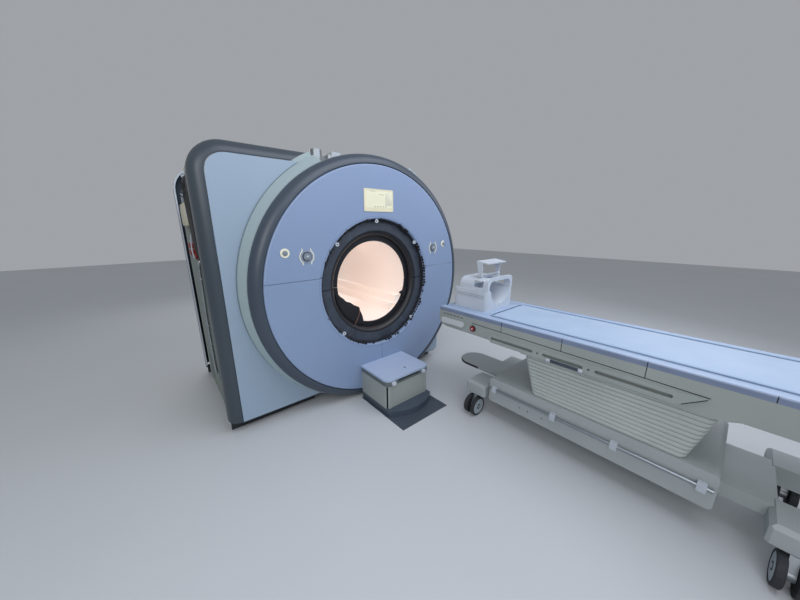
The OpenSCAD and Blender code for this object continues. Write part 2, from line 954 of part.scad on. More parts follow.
module dock_band() {
    slot = [220, 60, 26];
    color("#6f756f") from_face() difference() {
        translate([0, 0, box_top]) linear_extrude(band_h) dock_plan(dock_side + 2, dock_front + 2, 30);
        translate([-slot.x / 2, -dock_front - 2 - over, dock_h - lid_t - slot.z])
            cube([slot.x, slot.y, slot.z + over]);
    }
}

module dock_buffers() {
    color(white) from_face()
        for (s = [-1, 1])
            front_plate(-dock_front - 16, -dock_front - 2)
                translate([s * 160, box_top + band_h / 2]) rounded_rect(38, 28, 10);
}

module dock_lid() {
    color("#c3cbd9") from_face() translate([0, 0, dock_h - lid_t]) linear_extrude(lid_t)
        dock_plan(dock_w / 2, dock_len, 55);
}

// Base under the box, with a foot step that bulges out in front of it
module dock_step() {
    half = dock_side;
    sagitta = 80;
    arc_r = (half * half + sagitta * sagitta) / (2 * sagitta);
    color("#5b6472") from_face()
        translate([0, 0, plate_t]) linear_extrude(box_low - plate_t) intersection() {
            translate([-half, -step_len]) square([2 * half, step_len]);
            translate([0, -step_len + arc_r]) circle(arc_r);
        }
}

module floor_plate() {
    color("#3a3f47") from_face()
        translate([-dock_w / 2 - 12, -plate_len, 0]) cube([dock_w + 24, plate_len - 15, plate_t]);
}

// Patient table, drawn about its centre line with its depth from the face plane

module at_table() {
    translate([table_x, -face_to_centre, 0]) children();
}

// Plan of a caster pod: a box with cut corners
module pod_plan(w, len, corner) {
    polygon([
        [w / 2, len / 2 - corner],
        [w / 2 - corner, len / 2],
        [corner - w / 2, len / 2],
        [-w / 2, len / 2 - corner],
        [-w / 2, corner - len / 2],
        [corner - w / 2, -len / 2],
        [w / 2 - corner, -len / 2],
        [w / 2, corner - len / 2]
    ]);
}

// Upright outline with bevelled top edges
module bevelled(w, low, top, bevel) {
    polygon([
        [-w / 2, low],
        [w / 2, low],
        [w / 2, top - bevel],
        [w / 2 - bevel, top],
        [bevel - w / 2, top],
        [-w / 2, top - bevel]
    ]);
}

module caster_pods(y) {
    w = 210;
    len = 170;
    low = 170;
    top = 262;
    wall = 6;
    bevel = 18;
    corner = 12;
    for (s = [-1, 1]) {
        translate([s * pod_x, y, 0]) difference() {
            intersection() {
                translate([0, 0, low]) linear_extrude(top - low) pod_plan(w, len, corner);
                front_plate(-len / 2, len / 2) bevelled(w, low, top, bevel);
                side_plate(-w / 2, w / 2) bevelled(len, low, top, bevel);
            }
            translate([0, 0, low - over]) linear_extrude(top - low - bevel - wall + over)
                pod_plan(w - 2 * wall, len - 2 * wall, corner - wall / 2);
        }
        translate([s * caster_x, y, 0]) difference() {
            cylinder_from(26, low + 2, top - bevel - wall + over);
            cylinder_from(stem_r + run_gap, low, stem_top + 2);
        }
    }
}

stem_r = 12;
stem_top = 228;
nose_t = 22;
nose_low = dock_h - lid_t - 4 - nose_t;

module trolley_base() {
    round_r = 24;
    shaft_x = column_x + 1;
    shaft_y = column_y + 1;
    beam_low = 190;
    beam_top = nose_low;
    difference() {
        union() {
            color(beige) at_table() side_plate(-base_w / 2, base_w / 2)
                translate([-(base_front + base_rear) / 2, (base_low + base_top) / 2])
                    rounded_rect(base_rear - base_front, base_top - base_low, round_r);
            color(beige) at_table() {
                translate([-200, -base_front - 30, beam_low])
                    cube([400, base_front - caster_front + 30 - 60, beam_top - beam_low]);
                translate([-200, -caster_rear + 60, beam_low])
                    cube([400, caster_rear - base_rear + 30 - 60, beam_top - beam_low]);
                translate([-column_x - 40, -bellows_y - column_y - 40, column_low - 20])
                    cube([2 * column_x + 80, 2 * column_y + 80, base_low - column_low + 40]);
                translate([-shaft_x - column_wall, -bellows_y - shaft_y - column_wall, base_top - round_r])
                    cube([2 * (shaft_x + column_wall), 2 * (shaft_y + column_wall), 60 + round_r]);
            }
        }
        at_table() translate([-shaft_x, -bellows_y - shaft_y, column_low - 10])
            cube([2 * shaft_x, 2 * shaft_y, cut]);
    }
    color("#d5d8dc") at_table() {
        caster_pods(-caster_front);
        caster_pods(-caster_rear);
    }
}

module docking_nose() {
    half = 125;
    tip = 405;
    color("#8f959c") at_table() translate([0, 0, nose_low]) linear_extrude(nose_t) {
        translate([0, -tip - half]) circle(half);
        translate([-half, -base_front]) square([2 * half, base_front - tip - half]);
    }
}

module side_rails() {
    rail_r = 9;
    rail_z = 262;
    rail_x = base_w / 2 + 13;
    clip = [rail_x - base_w / 2 + 12, 34, 46];
    y_front = base_front + 10;
    y_rear = base_rear - 10;
    color("#c4c8cc") at_table()
        for (s = [0, 1])
            mirror([s, 0, 0]) {
                translate([rail_x, 0, rail_z]) bar_y(rail_r, -y_rear, -y_front);
                for (y = [y_front + 40, 1344, 1674, y_rear - 40])
                    translate([base_w / 2, -y - clip.y / 2, rail_z - clip.z / 2]) cube(clip);
            }
}

// Casters: a swivelling yoke between twin wheels on one axle

fork_half = 14;
axle_r = 6;

module caster_fork(side, y) {
    plate_z = 2 * wheel_r + 6;
    color("#9aa0a6") at_table() translate([side * caster_x, y, 0]) {
        cylinder_from(stem_r, plate_z, stem_top);
        cylinder_from(36, plate_z, plate_z + 10);
        difference() {
            side_yoke(plate_z);
            translate([-caster_trail, 0, wheel_r])
                bar_y(axle_r + run_gap, -fork_half - over, fork_half + over);
        }
    }
}

module cylinder_from(r, z0, z1) {
    translate([0, 0, z0]) cylinder(r = r, h = z1 - z0);
}

module side_yoke(plate_z) {
    front_plate(-fork_half, fork_half) {
        translate([-caster_trail, wheel_r]) circle(24);
        polygon([
            [-caster_trail - 24, wheel_r],
            [-caster_trail + 22, wheel_r - 10],
            [34, plate_z],
            [34, plate_z + 5],
            [-34, plate_z + 5],
            [-34, plate_z]
        ]);
    }
}

module caster_wheels(side, y) {
    gap = 1.5;
    hub_r = 62;
    dish = 5;
    inner = fork_half + gap;
    color("#1c1d20") at_table() translate([side * caster_x - caster_trail, y, wheel_r]) {
        for (s = [0, 1])
            mirror([0, s, 0]) turn_at(0, 0) difference() {
                translate([0, inner]) {
                    square([wheel_r - 6, wheel_w]);
                    translate([wheel_r - 6 - over, 6]) square([6 + over, wheel_w - 12]);
                    for (e = [6, wheel_w - 6]) translate([wheel_r - 6, e]) circle(6);
                }
                translate([axle_r + 14, inner + wheel_w - dish]) square([hub_r - axle_r - 14, dish + over]);
            }
        bar_y(axle_r, -inner - wheel_w, inner + wheel_w);
    }
}

module caster_fork_front_left() {
    caster_fork(-1, -caster_front);
}

module caster_fork_front_right() {
    caster_fork(1, -caster_front);
}

module caster_fork_rear_left() {
    caster_fork(-1, -caster_rear);
}

module caster_fork_rear_right() {
    caster_fork(1, -caster_rear);
}

module caster_wheels_front_left() {
    caster_wheels(-1, -caster_front);
}

module caster_wheels_front_right() {
    caster_wheels(1, -caster_front);
}

module caster_wheels_rear_left() {
    caster_wheels(-1, -caster_rear);
}

module caster_wheels_rear_right() {
    caster_wheels(1, -caster_rear);
}

// Bellows: flat bands between thin notches, narrower towards the base

corner_steps = 4;

function ring_points(hx, hy, r) = [
    for (q = [0 : 3], i = [0 : corner_steps])
        let (a = 90 * q + 90 * i / corner_steps,
            cx = (q == 0 || q == 3 ? 1 : -1) * (hx - r),
            cy = (q < 2 ? 1 : -1) * (hy - r))
        [cx + r * cos(a), cy + r * sin(a)]
];

module bellows() {
    skin = 3;
    corner_r = 34;
    low = base_top + seat_gap;
    high = frame_seat - seat_gap;
    half_x = [288, 292];
    half_y = [bellows_half - 76, bellows_half];
    notch = [0, 0.22, 0.78];
    levels = 3 * fold_count;
    count = 4 * (corner_steps + 1);
    rise = [for (k = [0 : levels]) (floor(k / 3) + notch[k % 3]) / fold_count];
    outer = [for (k = [0 : levels]) let (in = (k % 3 == 0 ? fold_depth : 0))
        for (p = ring_points(
            half_x[0] + (half_x[1] - half_x[0]) * rise[k] - in,
            half_y[0] + (half_y[1] - half_y[0]) * rise[k] - in, corner_r))
        [p.x, p.y, low + (high - low) * rise[k]]];
    inner = [for (k = [0 : levels]) let (in = (k % 3 == 0 ? fold_depth : 0) + skin)
        for (p = ring_points(
            half_x[0] + (half_x[1] - half_x[0]) * rise[k] - in,
            half_y[0] + (half_y[1] - half_y[0]) * rise[k] - in, corner_r - skin))
        [p.x, p.y, low + (high - low) * rise[k]]];
    base = len(outer);
    walls = [for (k = [0 : levels - 1], i = [0 : count - 1])
        let (j = (i + 1) % count)
        each [
            [k * count + i, (k + 1) * count + i, (k + 1) * count + j],
            [k * count + i, (k + 1) * count + j, k * count + j],
            [base + k * count + i, base + (k + 1) * count + j, base + (k + 1) * count + i],
            [base + k * count + i, base + k * count + j, base + (k + 1) * count + j]
        ]];
    rims = [for (i = [0 : count - 1])
        let (j = (i + 1) % count, t = levels * count)
        each [
            [i, j, base + j],
            [i, base + j, base + i],
            [t + i, base + t + j, t + j],
            [t + i, base + t + i, base + t + j]
        ]];
    color("#b9bcc0") at_table() translate([0, -bellows_y, 0])
        polyhedron(points = concat(outer, inner), faces = concat(walls, rims), convexity = 12);
}

module lift_inner() {
    low = column_low + lift_range;
    wall = 10;
    color("#aeb4ba") at_table() translate([0, -bellows_y, low]) difference() {
        translate([-column_x, -column_y, 0]) cube([2 * column_x, 2 * column_y, frame_seat - low]);
        translate([-column_x + wall, -column_y + wall, -over])
            cube([2 * (column_x - wall), 2 * (column_y - wall), frame_seat - low - wall + over]);
    }
}

// Table frame: a long tray with a channel for the board, and its trim

grip_z = 664;
grip_h = 20;
grips = [[868, 1177], [1241, 1470], [1530, 1856]];
button_y = 704;
button_z = 690;
button_r = 14;

module frame_side() {
    a = table_gap;
    b = table_foot;
    m0 = bellows_y - bellows_half - 52;
    m1 = bellows_y + bellows_half + 52;
    polygon([
        [-a, frame_top],
        [-a, frame_belly + 58],
        [-a - 26, frame_belly + 12],
        [-a - 80, frame_belly],
        [-m0, frame_belly],
        [-m0 - 50, frame_seat],
        [-m1 + 50, frame_seat],
        [-m1, frame_belly],
        [-b + 80, frame_belly],
        [-b + 26, frame_belly + 12],
        [-b, frame_belly + 58],
        [-b, frame_top]
    ]);
}

strip_joints = [for (i = [0 : 3]) 939 + i * strip_pitch];
strip_t = 14;
groove = 3;

module table_frame() {
    half = frame_w / 2;
    groove_start = 690;
    groove_end = 1975;
    groove_z = 731;
    groove_fall = 25;
    groove_deep = 4;
    color(beige) at_table() difference() {
        side_plate(-half, half) frame_side();
        translate([-board_w / 2 - board_gap, -table_foot + 15, ledge_h])
            cube([board_w + 2 * board_gap, table_len, cut]);
        for (s = [0, 1])
            mirror([s, 0, 0]) {
                translate([half - strip_t, -table_foot - over, frame_top - strip_h])
                    cube([strip_t + over, table_len + 2 * over, strip_h + over]);
                side_plate(half - groove_deep, half + over) polygon([
                    [-groove_start, groove_z],
                    [-groove_start, groove_z - groove],
                    [-groove_end, groove_z - groove_fall - groove],
                    [-groove_end, groove_z - groove_fall]
                ]);
                for (y = [for (y = strip_joints) if (y < groove_end) y])
                    let (low = groove_z - groove_fall * (y - groove_start) / (groove_end - groove_start))
                    translate([half - groove_deep, -y - groove / 2, low - 1])
                        cube([groove_deep + over, groove, frame_top - strip_h - low + 1 + over]);
                for (g = grips)
                    side_plate(half - 14, half + over) translate([-(g[0] + g[1]) / 2, grip_z])
                        rounded_rect(g[1] - g[0], grip_h, grip_h / 2 - over);
            }
        translate([0, -button_y, button_z]) bar_x(button_r + run_gap, -half - over, -half + 26);
    }
}

module side_fascias() {
    half = frame_w / 2;
    thick = 12;
    handle_y = 512;
    handle_len = 226;
    color("#d3d3cc") at_table()
        for (s = [0, 1])
            mirror([s, 0, 0]) {
                side_plate(half, half + thick) difference() {
                    polygon([
                        [-824, grip_z + 6],
                        [-862, grip_z + 28],
                        [-1860, grip_z + 28],
                        [-1966, grip_z + 37],
                        [-1887, grip_z - 22],
                        [-1866, grip_z - 34],
                        [-872, grip_z - 34]
                    ]);
                    for (g = grips)
                        translate([-(g[0] + g[1]) / 2, grip_z])
                            rounded_rect(g[1] - g[0], grip_h, grip_h / 2 - over);
                }
                side_plate(half, half + 10) translate([-handle_y, 741])
                    rounded_rect(handle_len, 52, 10);
                side_plate(half, half + 20) translate([-handle_y, 698])
                    rounded_rect(handle_len, 46, 20);
            }
}

module edge_strips() {
    half = frame_w / 2;
    ends = concat([table_gap - groove / 2], strip_joints, [table_foot + groove / 2]);
    lip = 5;
    color("#8a8fae") at_table()
        for (s = [0, 1], i = [0 : len(ends) - 2])
            mirror([s, 0, 0])
                front_plate(-ends[i + 1] + groove / 2, -ends[i] - groove / 2)
                    translate([half - strip_t, frame_top - strip_h]) {
                        square([strip_t - lip, strip_h]);
                        square([strip_t, strip_h - lip]);
                        translate([strip_t - lip, strip_h - lip]) circle(lip);
                    }
}

module board() {
    foot = table_foot - 18;
    len = foot - table_gap;
    low = ledge_h + seat_gap;
    edge = 10;
    color("#dfe3ea") at_table() difference() {
        intersection() {
            front_plate(-foot, -table_gap)
                translate([0, (low + frame_top) / 2]) rounded_rect(board_w, frame_top - low, edge);
            translate([0, -(foot + table_gap) / 2, low - over]) linear_extrude(board_h + 2 * over)
                rounded_rect(board_w, len, 50);
        }
        translate([0, -(foot + mattress_y) / 2, mattress_bed]) linear_extrude(cut)
            rounded_rect(board_w - 2 * edge, foot - mattress_y - 2 * edge, 40);
    }
}

module mattress() {
    foot = table_foot - 18;
    gap = 2;
    color("#dce6f3") at_table() intersection() {
        translate([0, -(foot + mattress_y) / 2, mattress_bed + seat_gap]) linear_extrude(mattress_t)
            rounded_rect(board_w - 20 - 2 * gap, foot - mattress_y - 20 - 2 * gap, 38);
        front_plate(-foot, -mattress_y) translate([0, mattress_bed + seat_gap + mattress_t / 2])
            rounded_rect(board_w - 20 - 2 * gap, mattress_t, 10);
    }
}

module table_stop_button() {
    half = frame_w / 2;
    color("#8e2f2a") at_table() translate([0, -button_y, button_z]) {
        bar_x(button_r, -half - 8, -half + 20);
        bar_x(button_r + 5, -half - 16, -half - button_travel - 1.5);
    }
}

// Head coil: a base with a head trough, an arched upper part with windows, and a mirror

module coil_base() {
    trough_z = frame_top + trough_r + 38;
    color(white) at_table() difference() {
        translate([0, -coil_y, frame_top + seat_gap]) linear_extrude(coil_base_h - seat_gap)
            rounded_rect(coil_w, coil_len, 26);
        translate([0, 0, trough_z])
            bar_y(trough_r, -coil_y - coil_len / 2 - over, -coil_y + coil_len / 2 - 34);
        for (s = [-1, 1])
            translate([s * coil_w / 2 - 3, -coil_y - coil_len / 2 + 40, coil_z - 62])
                cube([6, coil_len - 80, 5]);
    }
}

module coil_arch(half, height, round_r) {
    intersection() {
        translate([-half, 0]) square([2 * half, height]);
        translate([0, height - half]) rounded_rect(2 * half, 2 * half, round_r);
    }
}

module coil_top() {
    half = coil_w / 2 - 18;
    skin = 16;
    y0 = -coil_y - coil_len / 2 + 4;
    y1 = -coil_y + coil_len / 2 - 44;
    arch_t = 22;
    window = [91, 52];
    color(white) at_table() {
        difference() {
            union() {
                front_plate(y0, y1) translate([0, coil_z + seat_gap]) difference() {
                    coil_arch(half, coil_top_h - 10, 62);
                    translate([0, -over]) coil_arch(half - skin, coil_top_h - 10 - skin + over, 50);
                }
                front_plate(y0, y0 + arch_t) translate([0, coil_z + seat_gap]) difference() {
                    coil_arch(half + 10, coil_top_h, 34);
                    translate([0, -over]) coil_arch(half - skin, coil_top_h - 10 - skin + over, 50);
                }
            }
            side_plate(-half - 11, half + 11)
                translate([y0 + arch_t + 30 + window.x / 2, coil_z + 48]) rounded_rect(window.x, window.y, 8);
            translate([0, y0 + arch_t + 34 + 45, coil_z]) linear_extrude(coil_top_h + over)
                rounded_rect(150, 90, 12);
        }
        for (s = [-1, 1])
            difference() {
                side_plate(s * lug_x - 6, s * lug_x + 6) {
                    translate([hinge_y - 14, coil_z + coil_top_h - 12]) square([28, 24]);
                    translate([hinge_y, hinge_z]) circle(14);
                }
                translate([0, hinge_y, hinge_z]) bar_x(hinge_r + run_gap, -lug_x - 10, lug_x + 10);
            }
    }
}

lug_x = 112;
hinge_r = 5;
hinge_y = -coil_y - 50;
hinge_z = coil_z + coil_top_h + 12;

module coil_mirror() {
    arm_x = lug_x + 8;
    arm_t = 9;
    tilt = 8;
    plate = [2 * (arm_x + arm_t), 105, 8];
    rise = mirror_h - 12;
    color(white) at_table() translate([0, hinge_y, hinge_z]) {
        bar_x(hinge_r, -arm_x - arm_t, arm_x + arm_t);
        for (s = [0, 1])
            mirror([s, 0, 0]) side_plate(arm_x, arm_x + arm_t)
                polygon([[-14, -10], [16, -10], [20, 8], [42, rise], [-16, rise], [-12, 10]]);
        translate([0, 40, rise - 2]) rotate([tilt, 0, 0])
            translate([-plate.x / 2, -plate.y, 0]) cube(plate);
    }
}

cryostat();
gradient_coil();
bore_liner();
bore_rails();
end_rings();
acoustic_seal();
funnel_clips();
face_upper();
face_lower_left();
face_lower_right();
face_rim();
collars();
wing_panels();
wing_frame();
plinths();
rear_frame();
rear_panel();
service_rack();
lower_cabinet();
filter_boxes();
cooling_pipes();
hose_couplings();
cable_bundle();
turret();
display_bezel();
display_screen();
control_bezels();
jog_dial_left();
jog_dial_right();
stop_button_left();
stop_button_right();
dock_box();
dock_band();
dock_buffers();
dock_lid();
dock_step();
floor_plate();
trolley_base();
docking_nose();
side_rails();
caster_fork_front_left();
caster_fork_front_right();
caster_fork_rear_left();
caster_fork_rear_right();
caster_wheels_front_left();
caster_wheels_front_right();
caster_wheels_rear_left();
caster_wheels_rear_right();
bellows();
lift_inner();
table_frame();
side_fascias();
edge_strips();
board();
mattress();
table_stop_button();
coil_base();
coil_top();
coil_mirror();
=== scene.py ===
# %% [markdown]
# # A wide-bore MRI scanner with its patient table
# The solid model of the scanner comes in as a fixed frame: every cover, wheel and knob already has
# its true size and place. This notebook adds what the eye needs on top of that: the camera, the
# light, the surfaces, and the small things that are too fine or too soft for the solid model.

# %% Load the solid model
import math
import bmesh
import bpy
from mathutils import Matrix, Vector, noise


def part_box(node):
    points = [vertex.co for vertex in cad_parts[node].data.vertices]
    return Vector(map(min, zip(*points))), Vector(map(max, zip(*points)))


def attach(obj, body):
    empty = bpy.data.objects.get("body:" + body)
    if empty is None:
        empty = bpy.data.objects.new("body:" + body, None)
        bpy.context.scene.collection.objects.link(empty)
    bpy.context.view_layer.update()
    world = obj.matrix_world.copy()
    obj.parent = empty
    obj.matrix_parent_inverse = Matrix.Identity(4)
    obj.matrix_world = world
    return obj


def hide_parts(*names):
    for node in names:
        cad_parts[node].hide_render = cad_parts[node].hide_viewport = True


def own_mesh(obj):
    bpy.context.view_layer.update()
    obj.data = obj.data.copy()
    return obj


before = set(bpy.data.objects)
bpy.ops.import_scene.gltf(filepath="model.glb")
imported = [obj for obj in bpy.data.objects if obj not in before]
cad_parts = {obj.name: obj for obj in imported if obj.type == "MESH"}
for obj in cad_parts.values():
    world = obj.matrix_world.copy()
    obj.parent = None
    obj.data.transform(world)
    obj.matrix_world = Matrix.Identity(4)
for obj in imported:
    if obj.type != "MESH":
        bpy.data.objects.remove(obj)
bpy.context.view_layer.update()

# %% [markdown]
# ## Camera
# The picture was taken with a very wide lens in a small room, so the perspective is strong: the near
# end of the table runs far out to the right. The lens and the place were solved from the round edges
# of the cover, so both are numbers here and not a guess by eye. Pitch tips the camera down, yaw
# turns it to the right, and a third of a degree of roll levels the horizon as in the picture.

# %% Camera
camera = bpy.data.objects.new("camera", bpy.data.cameras.new("camera"))
camera.data.lens = 13.05
camera.data.sensor_width = 36.0
camera.data.clip_start = 0.02
camera.location = (-1.428, -2.762, 1.456)
turn_right = Matrix.Rotation(math.radians(-39.90), 3, "Z")
tip_down = Matrix.Rotation(math.radians(90.0 - 14.26), 3, "X")
level = Matrix.Rotation(math.radians(-0.33), 3, "Z")
camera.rotation_euler = (turn_right @ tip_down @ level).to_euler()
bpy.context.scene.collection.objects.link(camera)
bpy.context.scene.camera = camera
bpy.context.scene.view_settings.view_transform = "Standard"
print("camera at", tuple(camera.location))

# %% [markdown]
# ## Places and colours
# Sizes on a scanner are given in millimetres from three planes: the middle of the bore, the flat
# front of the cover, and the floor. One function turns such a place into metres of the frame.
# Colours are picked as sRGB hex values, which is how screens and paint charts give them. The
# renderer works in linear light, so one function converts them.

# %% Places and colours
# Isocentre to face in metres; bore axis, table's middle and the dials' places in millimetres
FACE = 0.8
AXIS = 985
TABLE = 675
DIAL_OUT, DIAL_HEIGHT = 625, 1256


def place(across, behind_face, height):
    return Vector((across / 1000, behind_face / 1000 - FACE, height / 1000))


def on_table(across, from_face, height):
    return place(TABLE + across, -from_face, height)


def linear(code):
    parts = [int(code[i:i + 2], 16) / 255 for i in (1, 3, 5)]
    return tuple(p / 12.92 if p <= 0.04045 else ((p + 0.055) / 1.055) ** 2.4 for p in parts) + (1.0,)


print("isocentre:", place(0, 800, AXIS), "mid grey:", linear("#808080"))

# %% [markdown]
# ## How a finish is built
# Each finish is a small graph of nodes. One function adds a node, sets its values and joins its
# inputs. A second starts a finish with its principled shader, the object coordinates in metres,
# and the values that are the same all over the surface. Many real surfaces vary by one pattern
# alone, so one function makes those. Where a part has two finishes, a mask of its own coordinates
# says where the second one goes.

# %% Finish helpers
def add(tree, kind, links=None, **settings):
    node = tree.nodes.new(kind)
    for name, value in settings.items():
        key = name.replace("_", " ").title() if not hasattr(node, name) else None
        if key is None:
            setattr(node, name, value)
        else:
            node.inputs[key].default_value = value
    for key, socket in (links or {}).items():
        tree.links.new(socket, node.inputs[key])
    return node


def finish(name, colour, roughness, **shader):
    material = bpy.data.materials.new(name)
    material.use_nodes = True
    tree = material.node_tree
    tree.nodes.clear()
    out = add(tree, "ShaderNodeOutputMaterial")
    surface = add(tree, "ShaderNodeBsdfPrincipled", Base_Color=linear(colour), Roughness=roughness)
    for key, value in shader.items():
        surface.inputs[key.replace("_", " ")].default_value = value
    tree.links.new(surface.outputs[0], out.inputs["Surface"])
    where = add(tree, "ShaderNodeTexCoord").outputs["Object"]
    material.diffuse_color = linear(colour)
    return material, tree, surface, where


def shade_between(tree, surface, amount, dark, pale):
    mix = add(tree, "ShaderNodeMix", {"Factor": amount}, data_type="RGBA")
    mix.inputs["A"].default_value = linear(dark)
    mix.inputs["B"].default_value = linear(pale)
    tree.links.new(mix.outputs["Result"], surface.inputs["Base Color"])
    return mix.outputs["Result"]


def calculate(tree, operation, value, number=0.0):
    node = add(tree, "ShaderNodeMath", {0: value}, operation=operation)
    node.inputs[1].default_value = number
    return node.outputs[0]


def zone(material, across, height, low, high, middle=0):
    # 1 between two radii in mm round a line along Y, and on the other side of the middle, else 0
    tree = material.node_tree
    vector = tree.nodes["Texture Coordinate"].outputs["Object"]
    for operation, other in (("SUBTRACT", (middle / 1000, 0, 0)), ("ABSOLUTE", (0, 0, 0)),
                             ("MULTIPLY", (1, 0, 1)), ("DISTANCE", (across / 1000, 0, height / 1000))):
        step = add(tree, "ShaderNodeVectorMath", {0: vector}, operation=operation)
        step.inputs[1].default_value = other
        vector = step.outputs[0]
    outside = calculate(tree, "GREATER_THAN", step.outputs["Value"], low / 1000)
    inside = calculate(tree, "LESS_THAN", step.outputs["Value"], high / 1000)
    return add(tree, "ShaderNodeMath", {0: outside, 1: inside}, operation="MULTIPLY").outputs[0]


def past(material, axis, limit, middle=None):
    # 1 where a coordinate is past the limit in metres, on both sides of the middle if one is given
    tree = material.node_tree
    parts = add(tree, "ShaderNodeSeparateXYZ", {0: tree.nodes["Texture Coordinate"].outputs["Object"]})
    value = parts.outputs[axis]
    if middle is not None:
        value = calculate(tree, "ABSOLUTE", calculate(tree, "SUBTRACT", value, middle))
    return calculate(tree, "GREATER_THAN", value, limit)


def recolour(material, amount, colour):
    tree = material.node_tree
    base = tree.nodes["Principled BSDF"].inputs["Base Color"]
    mix = add(tree, "ShaderNodeMix", {"Factor": amount, "A": base.links[0].from_socket}, data_type="RGBA")
    mix.inputs["B"].default_value = linear(colour)
    tree.links.new(mix.outputs["Result"], base)


def tint_zone(material, across, height, low, high, colour, share=0.9, middle=0):
    within = zone(material, across, height, low, high, middle)
    recolour(material, calculate(material.node_tree, "MULTIPLY", within, share), colour)
    return within


def relief(tree, surface, height, strength, depth_mm):
    bump = add(tree, "ShaderNodeBump", {"Height": height}, Strength=strength, Distance=depth_mm / 1000)
    tree.links.new(bump.outputs["Normal"], surface.inputs["Normal"])


def mottled(name, colour, roughness, tones, size_mm, detail, kind="Noise", bump=None, **shader):
    # One pattern gives the dark and the pale tone, and the relief if bump has strength and depth
    material, tree, surface, where = finish(name, colour, roughness, **shader)
    pattern = add(tree, "ShaderNodeTex" + kind, {"Vector": where}, Scale=1000 / size_mm, Detail=detail)
    shade_between(tree, surface, pattern.outputs[0], *tones)
    if bump:
        relief(tree, surface, pattern.outputs[0], *bump)
    return material


print("finish helpers ready")

# %% [markdown]
# ## Painted polyurethane covers
# The big covers of a scanner are moulded from rigid polyurethane foam and sprayed with a structured
# two-part paint. It gives a silky surface with a fine orange peel, about 2 mm from crest to crest,
# and hides finger marks. Large mouldings also differ a little in tone from place to place. The same
# recipe serves all painted covers, so it is one function of the paint's two tones.

# %% Painted polyurethane
def painted_polyurethane(name, dark, pale, roughness=0.42):
    material, tree, surface, where = finish(name, pale, roughness, IOR=1.5)
    # Peel crests 2.5 mm apart: drawn at 6 mm, as finer ones vanish between the render's pixels
    peel = add(tree, "ShaderNodeTexNoise", {"Vector": where}, Scale=1 / 0.006, Detail=2.0)
    cloud = add(tree, "ShaderNodeTexNoise", {"Vector": where}, Scale=1 / 0.9, Detail=3.0)
    shade_between(tree, surface, cloud.outputs[0], dark, pale)
    worn = add(tree, "ShaderNodeMapRange", {"Value": peel.outputs[0]}, To_Min=roughness - 0.05)
    worn.inputs["To Max"].default_value = roughness + 0.08
    tree.links.new(worn.outputs["Result"], surface.inputs["Roughness"])
    relief(tree, surface, peel.outputs[0], 0.12, 0.4)
    return material


# The blue of the cover tones is partly the pale paint and partly painted light: the blue cast of the ceiling
# panel
cover_paint = painted_polyurethane("cover_paint_pale_with_painted_blue_light", "#7e92b3", "#8ca0bf")
# A thin dark line round the hole is painted shadow in the shallow groove of the funnel's seat
tint_zone(cover_paint, 0, AXIS, 549.5, 552, "#4c5c78", 0.6)
panel_paint = painted_polyurethane("panel_paint_mist_grey", "#90a4b8", "#9fb1c3")
rim_paint = painted_polyurethane("rim_paint_slate", "#36414e", "#444f5c", 0.36)
border_paint = painted_polyurethane("border_paint_slate", "#353f48", "#434d57", 0.36)
collar_paint = painted_polyurethane("collar_paint_sage_grey", "#98a9ad", "#a6b8bc", 0.45)
lid_paint = painted_polyurethane("lid_paint_pale_blue", "#9fb1ce", "#b0c0da", 0.38)
print("covers painted in", len(bpy.data.materials), "tones")

# %% [markdown]
# ## Charcoal foam mouldings and black foam
# Where the bore funnel is off, two raw half rings show. They are charcoal polyurethane that was
# never meant to be seen, so they have a skin with flow marks and rub marks. Round them lies a black
# open foam that keeps the noise in: dull, full of 3 mm pores and torn at its edge.

# %% Charcoal moulding and foam
charcoal, tree, surface, where = finish("charcoal_polyurethane", "#3a424e", 0.42, IOR=1.5)
flow = add(tree, "ShaderNodeTexNoise", {"Vector": where}, Scale=1 / 0.12, Detail=5.0, Distortion=1.5)
shade_between(tree, surface, flow.outputs[0], "#2b313a", "#4a5361")
# The throat of the rings, inside 440 mm, is painted almost black: painted shade deep in the bore
tint_zone(charcoal, 0, AXIS, 0, 440, "#121317", 0.92)
scuff = add(tree, "ShaderNodeTexNoise", {"Vector": where}, Scale=1 / 0.03, Detail=4.0)
relief(tree, surface, scuff.outputs[0], 0.35, 1.5)

foam = mottled("open_cell_foam_black", "#17181c", 0.95, ("#0c0d0f", "#2a2c33"), 6, 0, "Voronoi", (0.9, 3.0))
print("charcoal and foam ready")

# %% [markdown]
# ## Glass-fibre bore liner
# The tube that the patient lies in is wound from glass fibre and finished with a smooth warm white
# gelcoat. Faint rings from the winding mandrel run round it, and it bounces the bore light about so
# strongly that it looks lit from inside; a faint painted glow in the finish stands in for that light.

# %% Gelcoat
# The emission is a painted glow for the bore light that the liner bounces about
gelcoat, tree, surface, where = finish("gelcoat_warm_white_painted_glow", "#f1e7e0", 0.30, Coat_Weight=0.3,
                                       Emission_Color=linear("#ffe9dc"), Emission_Strength=0.20)
winding = add(tree, "ShaderNodeTexWave", {"Vector": where}, bands_direction="Y", Scale=20, Distortion=1.0)
shade_between(tree, surface, winding.outputs[0], "#ecdfd6", "#f4ece6")
relief(tree, surface, winding.outputs[0], 0.05, 0.3)
print("gelcoat ready")

# %% [markdown]
# ## Moulded white and grey plastics
# Coil housings, clips, knobs and handles are injection-moulded ABS. The mould is spark-eroded, so
# the surface has a fine grain. Grain of 0.3 mm can't show at this distance and is drawn at 3 mm.

# %% Moulded ABS
def moulded_abs(name, dark, pale, roughness):
    material, tree, surface, where = finish(name, pale, roughness, IOR=1.53)
    grain = add(tree, "ShaderNodeTexNoise", {"Vector": where}, Scale=1 / 0.003, Detail=3.0)
    tone = add(tree, "ShaderNodeTexNoise", {"Vector": where}, Scale=1 / 0.15, Detail=2.0)
    shade_between(tree, surface, tone.outputs[0], dark, pale)
    relief(tree, surface, grain.outputs[0], 0.18, 0.3)
    return material


